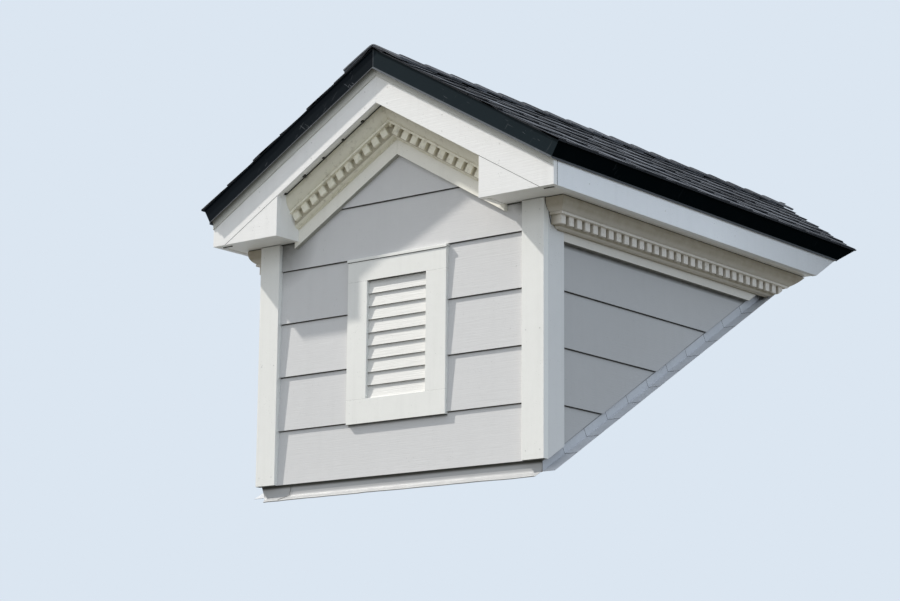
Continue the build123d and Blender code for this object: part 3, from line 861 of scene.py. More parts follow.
def blade_tree(paint):
    """Steep louvre blades, one over the other up Z, each leaning back."""
    tree, nodes, size = geometry_tree("Louvre blades", {
        "Count": WHOLE, "Pitch": VALUE, "Length": VALUE, "Thickness": VALUE, "Height": VALUE,
        "Lean": VALUE, "Seed": WHOLE})
    box = nodes.give("GeometryNodeMeshCube", {
        "Size": nodes.vector(size["Length"], size["Thickness"], size["Height"]),
        "Vertices X": 2, "Vertices Y": 2, "Vertices Z": 2})
    lift = nodes.vector(0.0, nodes.times(size["Thickness"], 0.5), nodes.times(size["Height"], 0.5))
    box = nodes.give("GeometryNodeTransform", {"Geometry": box, "Translation": lift})
    height = nodes.split(nodes.position())[2]
    back = nodes.times(nodes.over(height, size["Pitch"]), size["Lean"])
    blade = nodes.give("GeometryNodeSetPosition", {"Geometry": box, "Offset": nodes.vector(0.0, back, 0.0)})
    points = nodes.give("GeometryNodeMeshLine", {
        "Count": size["Count"], "Offset": nodes.vector(0.0, 0.0, size["Pitch"])})
    lean = nodes.chance(-0.008, 0.008, size["Seed"])
    tip = nodes.chance(-0.0025, 0.0025, nodes.plus(size["Seed"], 5))
    turn = nodes.give("FunctionNodeEulerToRotation", {"Euler": nodes.vector(lean, tip, 0.0)})
    blades = nodes.give("GeometryNodeInstanceOnPoints", {"Points": points, "Instance": blade,
                                                         "Rotation": turn})
    end_tree(nodes, blades, paint)
    return tree


def nail_tree(paint):
    """Nail heads spaced along lines, all facing one way."""
    tree, nodes, size = geometry_tree("Nail heads", {
        "Spacing": VALUE, "Radius": VALUE, "Height": VALUE, "Facing": VECTOR})
    curve = nodes.give("GeometryNodeMeshToCurve", {"Mesh": size["Geometry"]})
    head = nodes.give("GeometryNodeMeshCylinder", {
        "Vertices": 10, "Radius": size["Radius"], "Depth": size["Height"]})
    turn = nodes.give("FunctionNodeAlignRotationToVector", {"Vector": size["Facing"]}, axis="Z")
    heads = nodes.give("GeometryNodeInstanceOnPoints", {
        "Points": spaced_points(nodes, curve, size["Spacing"]), "Instance": head, "Rotation": turn})
    end_tree(nodes, heads, paint)
    return tree


def joint_tree(paint):
    """Open joints: a dark line of painted shade, with small dark spots along it."""
    tree, nodes, size = geometry_tree("Open joints", {
        "Width": VALUE, "Spacing": VALUE, "Spot": VALUE, "Seed": WHOLE})
    curve = nodes.give("GeometryNodeMeshToCurve", {"Mesh": size["Geometry"]})
    ring = nodes.give("GeometryNodeCurvePrimitiveCircle", {
        "Resolution": 6, "Radius": nodes.times(size["Width"], 0.5)})
    line = nodes.give("GeometryNodeCurveToMesh", {"Curve": curve, "Profile Curve": ring,
                                                  "Fill Caps": True})
    spot = nodes.give("GeometryNodeMeshIcoSphere", {"Radius": size["Spot"], "Subdivisions": 2})
    big = nodes.chance(0.65, 1.0, size["Seed"])
    spots = nodes.give("GeometryNodeInstanceOnPoints", {
        "Points": spaced_points(nodes, curve, size["Spacing"]), "Instance": spot,
        "Scale": nodes.vector(big, big, big)})
    end_tree(nodes, nodes.joined(line, spots), paint)
    return tree


def line_mesh(lines):
    """Mesh of lines, each through its own points."""
    mesh = bpy.data.meshes.new("lines")
    points = [point for line in lines for point in line]
    edges, start = [], 0
    for line in lines:
        edges += [(start + index, start + index + 1) for index in range(len(line) - 1)]
        start += len(line)
    mesh.from_pydata(points, edges, [])
    return mesh


def open_joint(name, line, width, spot, spacing, seed):
    """Painted shade in a joint: a dark line along it, as a piece that stands for no packed one."""
    dark = material("Dirt in joints", board_paint, dormer().finish.dirt, "X")
    tree = bpy.data.node_groups.get("Open joints") or joint_tree(dark)
    values = {"Width": width, "Spacing": spacing, "Spot": spot, "Seed": seed}
    place_piece(name, grown_shape(tree, values, line_mesh([line])), dark, [])


# Settings

def colour(name, description, default):
    return FloatVectorProperty(name=name, description=description, default=default, subtype="COLOR",
                               min=0, max=1)


def length(name, description, default, least, most):
    return FloatProperty(name=name, description=description, default=default, min=least, max=most,
                         unit="LENGTH")


def strength(name, description, default, most):
    return FloatProperty(name=name, description=description, default=default, min=0, max=most)


class DormerFinish(bpy.types.PropertyGroup):
    """Paint and bare wood."""

    trim: colour("Trim paint", "White paint on the front's trim boards", (0.89, 0.885, 0.845))
    # Painted shade: a darker copy of the trim's white for the side corner boards
    corner: colour("Side corner paint", "Duller white on the side corner boards", (0.755, 0.75, 0.735))
    # Painted shade: a darker copy of the trim's white for the eaves' friezes
    frieze: colour("Frieze paint", "Duller white on the eaves' friezes", (0.735, 0.70, 0.635))
    # Painted light: a lighter, warmer copy of the trim's white for the shaded rake friezes
    rake_frieze: colour("Rake frieze paint", "Warm white on the rakes' friezes", (0.955, 0.93, 0.845))
    # Painted light: a lighter copy of the trim's white for rakes, returns and soffits
    overhang: colour("Overhang paint", "White paint on rakes, returns and soffits", (0.92, 0.91, 0.885))
    # Painted light: a lighter, bluer copy of the trim's white for the fascias
    eaves: colour("Eave paint", "White paint on the fascias", (0.93, 0.94, 0.95))
    # Painted shade: darker paint for the strip, standing for the edge metal's shadow on it
    strip: colour("Strip paint", "Dull paint on the strip below the edge metal", (0.64, 0.635, 0.585))
    # Painted light and shade: the eaves' and rakes' mouldings get a darker and a lighter copy of one
    # moulding paint
    moulding: colour("Eave moulding paint", "Older paint on the eaves' mouldings", (0.80, 0.755, 0.685))
    # Painted light: the lighter of the two moulding paints, for the rakes' mouldings
    cream: colour("Rake moulding paint", "Cream paint on the rakes' mouldings", (0.95, 0.91, 0.76))
    siding: colour("Siding paint", "Grey paint on the front's lapped siding", (0.69, 0.685, 0.68))
    # Painted shade: a darker copy of the front's siding paint for the cheeks
    cheek: colour("Cheek paint", "Darker grey paint on the cheeks' siding", (0.495, 0.49, 0.485))
    # Painted shade: a darker copy of the trim's white for the blades, which face the key light more
    louvre: colour("Louvre paint", "White paint on the vent's blades", (0.79, 0.78, 0.745))
    # Also the colour of painted shade on lower faces, under laps and in joints
    dirt: colour("Dirt", "Colour of dirt, specks and shaded lower edges", (0.045, 0.043, 0.030))
    # Dirt and painted shade in the mouldings' recesses
    moulding_dirt: colour("Moulding dirt", "Brown dirt and painted shade between the dentils", (0.27, 0.225, 0.145))
    wood_pale: colour("Pale wood", "Lighter grain of bare wood", (0.62, 0.44, 0.25))
    wood_dark: colour("Dark wood", "Darker grain of bare wood", (0.33, 0.19, 0.085))
    rounding: length("Board edges", "Rounding of the boards' edges", 0.0012, 0.0002, 0.004)


class DormerMetal(bpy.types.PropertyGroup):
    """Black metal on the roof's edges, and flashing."""

    black: colour("Right rake metal", "Black coating of the right rake's metal", (0.010, 0.017, 0.021))
    # Painted shade: a blacker copy of the right rake's coat for the left rake's metal
    left_black: colour("Left rake metal", "Blacker coating of the left rake's metal",
                       (0.0015, 0.004, 0.0065))
    # Painted shade: the blackest copy of the coat for the eaves' metal, which lies in shade
    eave_black: colour("Eave metal", "Black coating of the eaves' edge metal", (0.002, 0.004, 0.005))
    # Also the colour of a painted highlight along the edge metal's hem
    scratch: colour("Scratches", "Colour of scratches and the hem's painted highlight", (0.16, 0.17, 0.185))
    # Painted light and shade: a darker coat for the sunlit apron and a lighter one for the shaded step
    # flashings
    apron: colour("Apron", "Light coating of the apron in front", (0.46, 0.46, 0.455))
    steps: colour("Step flashing", "Lighter coating of the step flashings", (0.62, 0.63, 0.65))
    tarnish: colour("Tarnish", "Duller patches of the flashing", (0.36, 0.37, 0.37))
    # Painted highlight: height of the lighter band along the edge metal's hem
    edge_hem: length("Edge metal hem", "Height of the worn hem along the edge metal", 0.0075, 0, 0.02)
    sheet: length("Flashing sheet", "Thickness of the flashing sheet", 0.0008, 0.0003, 0.003)
    foot: length("Apron foot", "Width of the apron on the house roof", 0.050, 0.02, 0.15)
    hem: length("Apron hem", "Radius of the apron's curled lower lip", 0.0026, 0.001, 0.006)


class DormerRoofing(bpy.types.PropertyGroup):
    """Laminated shingles and ridge caps."""

    dark: colour("Dark granules", "Darkest granules", (0.023, 0.026, 0.032))
    light: colour("Light granules", "Lightest granules", (0.265, 0.28, 0.31))
    edge: colour("Cut edges", "Bare dark edges of the shingles", (0.012, 0.013, 0.016))
    fleck: colour("Warm granules", "Scattered warm granules", (0.17, 0.14, 0.115))
    exposure: length("Exposure", "Height of a course that shows", 0.143, 0.08, 0.3)
    sheet_length: length("Sheet length", "Length of one shingle of the lower layer", 1.0, 0.3, 2)
    joint: length("Sheet joint", "Gap between shingles of the lower layer", 0.0016, 0, 0.01)
    sheet_butt: length("Sheet butt", "Thickness of the lower layer's edge", 0.0064, 0.002, 0.01)
    tab_butt: length("Tab butt", "Thickness of both layers at a tab's edge", 0.0088, 0.003, 0.02)
    drop: length("Drop", "How much thinner a course is where the next begins", 0.005, 0, 0.02)
    thinnest: length("Thinnest", "Least thickness, which covers the edge metal's flange", 0.0022, 0, 0.01)
    tab_pitch: length("Tab pitch", "Average spacing of the tabs", 0.19, 0.08, 0.5)
    tab_width: length("Tab width", "Width of the widest tab", 0.148, 0.04, 0.4)
    ragged: length("Ragged ends", "Most that a course stops short at the rake", 0.0035, 0, 0.02)
    cap_width: length("Cap width", "Reach of a ridge cap down each slope", 0.146, 0.08, 0.3)
    cap_thickness: length("Cap thickness", "Thickness of one ridge cap", 0.0045, 0.002, 0.01)
    cap_tail: length("Cap tail", "How far a cap runs on under the next", 0.055, 0, 0.2)
    cap_bend: length("Cap bend", "Radius of a cap's bend over the ridge", 0.008, 0.001, 0.05)
    seed: IntProperty(name="Seed", description="Number that the shingles' chances start from",
                      default=4, min=0, max=1000)


class DormerVent(bpy.types.PropertyGroup):
    """Fixed louvre."""

    count: IntProperty(name="Blades", description="Number of blades", default=9, min=2, max=30)
    thickness: length("Blade thickness", "Thickness of a blade", 0.005, 0.002, 0.02)
    lean: length("Blade lean", "How far back a blade lies at the next blade", 0.007, 0, 0.05)
    lap: length("Blade lap", "How far a blade goes up behind the next", 0.010, 0, 0.03)
    setback: length("Setback", "Depth of the blades behind the casing's face", 0.007, 0, 0.05)


class DormerLight(bpy.types.PropertyGroup):
    """Soft plain light."""

    key: strength("Key light", "Strength of the light from upper left", 3.8, 20)
    softness: FloatProperty(name="Softness", description="Width of the key light as seen from the part",
                            default=math.radians(1.6), min=0, max=1.5, subtype="ANGLE")
    fill: strength("Fill light", "Strength of the wide light from the front", 0.50, 10)
    side: strength("Side light", "Strength of the wide cool light from the right", 0.95, 10)
    sky: strength("Sky light", "Strength of the light from all round", 0.55, 5)
    backdrop: colour("Backdrop", "Pale colour behind the part", (0.71, 0.79, 0.88))
    floor: colour("Floor", "Colour of the floor as seen, which the lamps light up", (0.45, 0.505, 0.56))
    bounce: colour("Bounce", "How much light the floor throws back up", (0.125, 0.12, 0.10))


class DormerSettings(bpy.types.PropertyGroup):
    """All sizes and colours of the finishes."""

    finish: PointerProperty(type=DormerFinish)
    metal: PointerProperty(type=DormerMetal)
    roofing: PointerProperty(type=DormerRoofing)
    vent: PointerProperty(type=DormerVent)
    light: PointerProperty(type=DormerLight)


# Operators

class DORMER_OT_frame(bpy.types.Operator):
    """Bare wood frame: soles, studs, plates, rafters, ridge board and nailers"""

    bl_idname = "dormer.wood_frame"
    bl_label = "Wood frame"

    def execute(self, context):
        wood = bare_wood()
        for seed, node in enumerate(("sole_frame", "front_framing", "cheek_framing", "rafters",
                                     "ridge_board", "valley_plates", "eave_nailers")):
            shape = solid_copy(node)
            mark_boards(shape, seed)
            place_piece(f"{node}_wood", shape, wood, [node], 0.0015)
        return {"FINISHED"}


class DORMER_OT_sheathing(bpy.types.Operator):
    """Strand board on the walls and the roof"""

    bl_idname = "dormer.sheathing"
    bl_label = "Sheathing"

    def execute(self, context):
        board = strand_board()
        for node in ("front_sheathing", "cheek_sheathing", "roof_deck_left", "roof_deck_right"):
            place_piece(f"{node}_board", solid_copy(node), board, [node])
        return {"FINISHED"}


class DORMER_OT_siding(bpy.types.Operator):
    """Single lapped boards on the front and the cheeks"""

    bl_idname = "dormer.siding"
    bl_label = "Siding"

    def execute(self, context):
        finish = dormer().finish
        # Painted shade in both siding paints: dark lines under the laps; on the front also its corners,
        # partly dirt, and under the sill; on the cheeks under the frieze
        front = board_paint("Siding paint front", finish.siding, "X", under_eaves, relief=0.0004, dirt=0.02)
        side = board_paint("Siding paint cheeks", finish.cheek, "Y", under_frieze, relief=0.0004, dirt=0.02)
        for node, courses, paint in (("front_siding", 7, front), ("cheek_siding_left", 5, side),
                                     ("cheek_siding_right", 5, side)):
            place_piece(f"{node}_boards", self.boards(node, courses), paint, [node], 0.0008)
        return {"FINISHED"}

    def boards(self, node, courses):
        """Packed lapped siding cut into its single boards, with a crack behind each lap."""
        sheet = solid_copy(node)
        boards = bmesh.new()
        for course in range(courses):
            low = FOOT_Z + course * SIDING_EXPOSURE
            board = sheet.copy()
            cut(board, UP * (low - 0.0001), UP)
            cut(board, UP * (low + SIDING_EXPOSURE - 0.0014), -UP)
            if board.faces:
                add_shape(boards, board)
            else:
                board.free()
        sheet.free()
        # Painted shade, with dirt: the boards' lower edges, which face down, are darkened
        mark_dirt_and_painted_light(boards, faces_down)
        return boards


class DORMER_OT_trim(bpy.types.Operator):
    """Corner boards and frieze boards"""

    bl_idname = "dormer.wall_trim"
    bl_label = "Wall trim"

    def execute(self, context):
        radius = dormer().finish.rounding
        gap = 0.0022
        # Painted shade: the side corner boards take a darker copy of the white; the boards' ends in the gap
        # under the soffit are darkened, and their tops fade darker, dirt and painted shade
        for node, part in (("front_corner_boards", "trim"), ("side_corner_boards", "corner")):
            shape = solid_copy(node)
            cut(shape, UP * (SOFFIT_Z - gap), -UP)
            mark_dirt_and_painted_light(shape, lambda middle, normal: abs(normal.z) > 0.4)
            place_piece(f"{node}_trim", shape, white_paint("Z", part, grime=top_of_boards),
                        [node], radius)
        # Painted shade: the friezes' lower faces are darkened by the last amount in each row; the eaves'
        # friezes take a darker white and the rakes' a lighter, warmer one, painted light
        for name, along, part, dirt in (("eave_frieze", "Y", "frieze", 0.85),
                                        ("rake_frieze", "X", "rake_frieze", 0.62)):
            shape = solid_copy(f"{name}s")
            mark_dirt_and_painted_light(shape, faces_down, dirt)
            place_piece(f"{name}_trim", shape, white_paint(along, part), [f"{name}s"], radius)
        return {"FINISHED"}


class DORMER_OT_overhangs(bpy.types.Operator):
    """Rake boards, strips, returns, soffits and fascias"""

    bl_idname = "dormer.overhangs"
    bl_label = "Overhangs"

    def execute(self, context):
        finish = dormer().finish
        # Painted light: the overhang and eave whites are lighter copies of the trim's white; the fascias
        # darken towards the house roof and on the left, painted shade
        paints = {"rake_board_left": white_paint("X", "overhang", -TURN),
                  "rake_board_right": white_paint("X", "overhang", TURN),
                  "return_faces": white_paint("X", "overhang"),
                  "return_sides": white_paint("Y", "overhang"),
                  "rake_soffits": white_paint("X", "overhang"),
                  "eave_soffits": white_paint("Y", "overhang"),
                  "eave_fascias": white_paint("Y", "eaves", grime=towards_house)}
        for node, paint in paints.items():
            place_piece(f"{node}_trim", solid_copy(node), paint, [node], finish.rounding)
        shape = solid_copy("rake_strips")
        for vert in shape.verts:
            vert.co.y = max(vert.co.y, RAKE_Y - 0.0045)
        # Painted shade: the strip's darker paint stands for the edge metal's shadow on it
        dull = board_paint("Strip paint", finish.strip, "X")
        place_piece("rake_strips_trim", shape, dull, ["rake_strips"], 0.0018, 3)
        return {"FINISHED"}


def mark_moulding_dirt_and_shade(shape, out_of_wall, below_top, cove, gaps, foot, edge):
    """Stores how dark a moulding's points are in its cove, between its dentils, at its foot and edge: dirt
    and painted shade.
    """
    layer = shape.verts.layers.float.new("grime")
    lowest = max(below_top(vert.co) for vert in shape.verts) - 0.002
    for vert in shape.verts:
        drop = below_top(vert.co)
        if DENTILS_TOP < drop < DENTILS_LOW and out_of_wall(vert.co) < RECESS_OUT:
            vert[layer] = gaps
        elif drop > FOOT_TOP:
            vert[layer] = edge if drop > lowest else foot
        else:
            vert[layer] = cove * min(1.0, max(0.0, 1.9 - 1.5 * drop / COVE_HEIGHT))


class DORMER_OT_mouldings(bpy.types.Operator):
    """Dentil mouldings at the eaves and the rakes, darkened with dirt and painted shade in their recesses,
    and with dark lines of painted shade in their joints
    """

    bl_idname = "dormer.mouldings"
    bl_label = "Mouldings"

    def execute(self, context):
        finish = dormer().finish
        # Painted light and shade: a darker paint on the eaves' mouldings and a lighter one on the rakes';
        # the recess colour is dirt and painted shade
        old, cream = [board_paint(name, paint, along, stains, dirt_colour=finish.moulding_dirt)
                      for name, paint, along in (("Eave moulding paint", finish.moulding, "Y"),
                                                 ("Rake moulding paint", finish.cream, "X"))]
        for hand, side in SIDES:
            self.eave_moulding(hand, side, old)
            self.rake_moulding(hand, side, cream)
            self.board_joints(hand, side)
        return {"FINISHED"}

    def eave_moulding(self, hand, side, paint):
        """Moulding under an eave's soffit, with dark lines of painted shade in the joints over it and at its
        front end.
        """
        node = f"eave_dentil_{hand}"
        low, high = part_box(node)
        shape = solid_copy(node)
        end = self.end_line(shape, side)
        # Dirt and painted shade in the recesses, far darker under the eaves' deep shade than at the rakes
        mark_moulding_dirt_and_shade(shape, lambda co: abs(co.x) - TRIM_X, lambda co: SOFFIT_Z - co.z,
                      cove=0.8, gaps=0.85, foot=0.4, edge=0.9)
        shift(shape, (side * 0.5 * MOULDING_GAP, 0, -MOULDING_GAP))
        place_piece(f"{node}_moulding", shape, paint, [node], 0.0007)
        reach = abs((low if side < 0 else high).x) - MOULDING_GAP
        front = end[0].y + MOULDING_GAP
        top = [Vector((side * x, y, SOFFIT_Z - MOULDING_GAP / 2))
               for x, y in ((TRIM_X, front), (reach, front), (reach, high.y - 0.01))]
        open_joint(f"eave_joint_{hand}", top, 0.0062, 0.0034, 0.27, side + 3)
        open_joint(f"end_joint_{hand}", end, 0.0034, 0.0021, 0.05, side + 5)

    def end_line(self, shape, side):
        """Front outline of the moulding where its end meets the corner board, from the top down."""
        front = {}
        for vert in shape.verts:
            height = round(vert.co.z, 4)
            if abs(abs(vert.co.x) - TRIM_X) < 5e-4 and vert.co.y < front.get(height, vert.co).y + 1e-6:
                front[height] = vert.co.copy()
        line = [front[height] for height in sorted(front, reverse=True)]
        return [Vector((side * (TRIM_X + 0.0004), point.y, point.z)) for point in line]

    def rake_moulding(self, hand, side, paint):
        """Moulding under a rake's soffit, with a dark line of painted shade in the joint over it and dark
        spots along it.
        """
        node = f"rake_dentil_{hand}"
        shape = solid_copy(node)
        # Dirt and painted shade in the recesses, lighter than under the eaves
        mark_moulding_dirt_and_shade(shape, lambda co: FRONT_Y - co.y, lambda co: roof_depth(co) - RAKE_SOFFIT_DEPTH,
                      cove=0.2, gaps=0.62, foot=0.1, edge=0.1)
        shift(shape, (0, 0, -MOULDING_GAP))
        place_piece(f"{node}_moulding", shape, paint, [node], 0.0007)
        top = RIDGE_Z - (RAKE_SOFFIT_DEPTH + 0.0004) / RUN
        joint = [Vector((side * x, CROWN_Y - 0.0005, top - SLOPE * x))
                 for x in (0.004, RETURN_INNER_X - 0.004)]
        spots = [point + Vector((0, -0.007, -0.001)) for point in joint]
        open_joint(f"rake_joint_{hand}", joint, 0.0048, 0.0024, 0.096, side + 8)
        open_joint(f"rake_spots_{hand}", spots, 0.0002, 0.0080, 0.096, side + 8)

    def board_joints(self, hand, side):
        """Dark lines of painted shade in the joints over a return's face, behind it at the wall, at its tail
        and up the fascia's corner.
        """
        low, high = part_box("return_faces")
        soffit_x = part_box("eave_soffits")[1].x
        metal_z = RIDGE_Z - SLOPE * FASCIA_X - EDGE_METAL_DEPTH / RUN
        meet = [(x, low.y + 0.0002, high.z - SLOPE * (x - RETURN_INNER_X))
                for x in (RETURN_INNER_X + 0.002, high.x - 0.002)]
        wall = [(x, SHEATH_Y - 0.012, SOFFIT_Z - 0.001) for x in (RETURN_X + 0.004, TRIM_X - CORNER_WIDTH)]
        tail = [(x, RAKE_BACK_Y + 0.014, SOFFIT_Z - 0.0005) for x in (high.x - 0.005, soffit_x)]
        corner = [(FASCIA_X, RAKE_BACK_Y, z) for z in (DRIP_Z + 0.002, metal_z)]
        for name, points, width, spot, spacing, seed in (("return", meet, 0.0015, 0.0010, 0.09, 12),
                                                         ("wall", wall, 0.0074, 0.0040, 0.03, 15),
                                                         ("tail", tail, 0.0060, 0.0032, 0.025, 18),
                                                         ("corner", corner, 0.0018, 0.0011, 0.05, 21)):
            line = [Vector((side * x, y, z)) for x, y, z in points]
            open_joint(f"{name}_joint_{hand}", line, width, spot, spacing, side + seed)


class DORMER_OT_edge_metal(bpy.types.Operator):
    """Black metal along the rakes and the eaves"""

    bl_idname = "dormer.edge_metal"
    bl_label = "Edge metal"

    def execute(self, context):
        metal = dormer().metal
        eave_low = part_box("eave_edges")[0].z

        def on_rake_hem(middle, normal):
            return middle.y < STRIP_Y and roof_depth(middle) > EDGE_METAL_DEPTH - metal.edge_hem

        def on_eave_hem(middle, normal):
            return normal.z < 0.9 and abs(middle.x) > FASCIA_X and middle.z < eave_low + metal.edge_hem

        # Painted shade: the left rake's and the eaves' metal take blacker copies of the coat
        for node, coat, wear, gloss, seam, on_hem in (
                ("rake_edge_left", metal.left_black, 0.8, 0.05, peak_joint, on_rake_hem),
                ("rake_edge_right", metal.black, 0.8, 0.05, peak_joint, on_rake_hem),
                ("eave_edges", metal.eave_black, 0.1, 0.0, None, on_eave_hem)):
            coated = sheet_metal(f"Black metal {node}", coat, metal.scratch, wear, 0.01, gloss, grime=seam)
            shape = solid_copy(node)
            # Painted highlight: a lighter band along the hem, in the scratch colour
            mark_dirt_and_painted_light(shape, on_hem, 0.7)
            place_piece(f"{node}_metal", shape, coated, [node])
        return {"FINISHED"}


class DORMER_OT_shingles(bpy.types.Operator):
    """Laminated shingles on both slopes, trimmed at the rake, the ridge and the house roof"""

    bl_idname = "dormer.shingles"
    bl_label = "Shingles"

    def execute(self, context):
        roofing = dormer().roofing
        paint = granule_material("Shingle granules")
        tree = shingle_tree(paint)
        low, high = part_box("shingles_right")
        packed_butt, setback = 0.009, 0.0012
        slope_end = (high.x - packed_butt * RISE) / RUN - setback
        values = {"Courses": math.ceil(slope_end / roofing.exposure), "Exposure": roofing.exposure,
                  "Length": high.y - low.y, "Sheet length": roofing.sheet_length, "Joint": roofing.joint,
                  "Sheet butt": roofing.sheet_butt, "Tab butt": roofing.tab_butt, "Drop": roofing.drop,
                  "Thinnest": roofing.thinnest, "Tab pitch": roofing.tab_pitch,
                  "Tab width": roofing.tab_width}
        for hand, side in SIDES:
            values["Seed"] = roofing.seed + (side > 0) * 50
            shape = grown_shape(tree, values)
            off = Vector((side * RISE, 0, RUN))
            axes = (BACK * side, Vector((-side * RUN, 0, RISE)), off)
            shape.transform(Matrix(axes).transposed().to_4x4())
            shift(shape, (side * slope_end * RUN, (low if side > 0 else high).y, RIDGE_Z - slope_end * RISE))
            cut(shape, BACK * low.y, BACK)
            cut(shape, Vector((side * 0.002, 0, 0)), Vector((side, 0, 0)))
            cut(shape, OFF_HOUSE * ROOF_CLEARANCE, OFF_HOUSE)
            self.trim_ends(shape, low.y, slope_end, side)
            shape.normal_update()
            mark_dirt_and_painted_light(shape, lambda middle, normal: normal.dot(off) < 0.6, 0.97)
            place_piece(f"shingles_{hand}_laid", shape, paint, [f"shingles_{hand}"])
        return {"FINISHED"}

    def trim_ends(self, shape, front, slope_end, side):
        """Sets back each course's end at the rake by its own few millimetres."""
        roofing = dormer().roofing
        for vert in shape.verts:
            if abs(vert.co.y - front) < 1e-5:
                course = int((slope_end - abs(vert.co.x) / RUN) / roofing.exposure)
                vert.co.y += roofing.ragged * random.Random(course * 7 + side).random()


class DORMER_OT_ridge_caps(bpy.types.Operator):
    """Caps bent over the ridge"""

    bl_idname = "dormer.ridge_caps"
    bl_label = "Ridge caps"

    def execute(self, context):
        roofing = dormer().roofing
        paint = material("Shingle granules", granule_material)
        tree = cap_tree(paint)
        low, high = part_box("ridge_caps")
        lift = 0.005
        thickness = roofing.cap_thickness / RUN
        bottom = high.z - 0.0006 - thickness + SLOPE * roofing.cap_bend * 0.2
        values = {"Count": math.ceil((high.y - low.y) / roofing.exposure) + 1,
                  "Exposure": roofing.exposure, "Cap length": roofing.exposure + roofing.cap_tail,
                  "Half width": roofing.cap_width * RUN, "Thickness": roofing.cap_thickness,
                  "Slope": SLOPE, "Bend": roofing.cap_bend, "Tilt": math.atan(lift / roofing.exposure),
                  "Seed": roofing.seed}
        shape = grown_shape(tree, values)
        shift(shape, (0, low.y + 0.004, bottom))
        starter = grown_shape(tree, {**values, "Count": 1, "Tilt": 0.0, "Seed": roofing.seed + 9})
        shift(starter, (0, low.y + 0.006, bottom - thickness))
        add_shape(shape, starter)
        cut(shape, OFF_HOUSE * ROOF_CLEARANCE, OFF_HOUSE)
        place_piece("ridge_caps_laid", shape, paint, ["ridge_caps"])
        return {"FINISHED"}


class DORMER_OT_flashing(bpy.types.Operator):
    """Apron with a curled lip in front, and lapped step flashings on both cheeks"""

    bl_idname = "dormer.flashing"
    bl_label = "Flashing"

    def execute(self, context):
        metal = dormer().metal
        dirt = dormer().finish.dirt
        # Painted light and shade: a darker coat on the sunlit apron and a lighter one on the shaded step
        # flashings; both darkened close under the boards as painted shade
        dull, light = [sheet_metal(name, coat, metal.tarnish, 0.25, dust, 0.2, dirt, under_boards(depth))
                       for name, coat, dust, depth in (("Apron metal", metal.apron, 0.5, 0.0105),
                                                       ("Step flashing metal", metal.steps, 0.4, 0.0055))]
        low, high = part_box("apron_flashing")
        seam = low.x + 0.120
        lean = -1.1
        wrap = 0.0012
        shape = bmesh.new()
        self.apron(shape, (low.x - wrap, seam + 0.035), (0.7, lean), high.z, 0.0, 3)
        self.apron(shape, (seam, high.x + wrap), (lean, 0.0), high.z, 1.4 * metal.sheet, 8)
        place_piece("apron_flashing_sheet", shape, dull, ["apron_flashing"],
                    sheet=metal.sheet)
        heel = Vector((seam, SHEATH_Y, SLOPE * SHEATH_Y))
        lap = [heel + Vector((0.012, -0.003, high.z - heel.z - 0.003)),
               heel + OFF_HOUSE * 0.005 - UP_HOUSE * 0.004,
               heel + OFF_HOUSE * 0.003 - UP_HOUSE * 0.043 + Vector((lean * 0.043, 0, 0))]
        # Painted shade: a dark line along the apron's lap
        open_joint("apron_lap", lap, 0.0016, 0.0009, 0.05, 4)
        steps = solid_copy("step_flashings")
        mark_dirt_and_painted_light(steps, lambda middle, normal: abs(normal.dot(UP_HOUSE)) > 0.6)
        place_piece("step_flashing_sheets", steps, light, ["step_flashings"])
        return {"FINISHED"}

    def apron_profile(self, heel, top):
        """Points of the apron's section from the top down, each with how freely it may wave."""
        metal = dormer().metal
        radius = 0.006
        profile = [(Vector((0, heel.y, top)), 0.0), (Vector((0, heel.y, heel.z + 0.008)), 0.0)]
        centre = heel + (OFF_HOUSE - UP_HOUSE) * radius
        for step in range(5):
            turn = math.radians(90) - (math.radians(90) - TURN) * step / 4
            profile.append((centre + Vector((0, math.sin(turn), -math.cos(turn))) * radius, 0.1))
        toe = heel - UP_HOUSE * (metal.foot - 2 * metal.hem)
        for step in range(1, 4):
            profile.append((heel.lerp(toe, 0.25 + 0.25 * step), 0.25 * step))
        for step in range(1, 7):
            turn = math.radians(38 * step)
            curl = OFF_HOUSE * (1 - math.cos(turn)) - UP_HOUSE * math.sin(turn)
            profile.append((toe + curl * metal.hem, 1.0))
        return profile

    def apron(self, shape, ends, slants, top, lift, seed):
        """One bent sheet from end to end: leg, heel, foot on the roof and curled lip, cut at a slant."""
        heel = Vector((0, SHEATH_Y - 0.0004, SLOPE * SHEATH_Y))
        profile = self.apron_profile(heel, top)
        steps = max(4, int((ends[1] - ends[0]) / 0.012))
        rows = []
        for step in range(steps + 1):
            row = []
            for point, free in profile:
                reach = max(-0.05, (heel - point).dot(UP_HOUSE))
                left, right = (end + slant * reach for end, slant in zip(ends, slants))
                x = left + (right - left) * step / steps
                wave = noise.noise(Vector((x * 7.0, seed, 0.0)))
                wave += 0.5 * noise.noise(Vector((x * 23.0, seed, 4.0)))
                raise_by = lift + 0.0009 + free * 0.0016 * (wave + 0.7)
                row.append(shape.verts.new(Vector((x, point.y, point.z)) + OFF_HOUSE * raise_by))
            rows.append(row)
        for first, second in zip(rows, rows[1:]):
            for index in range(len(profile) - 1):
                shape.faces.new((first[index], first[index + 1], second[index + 1], second[index]))


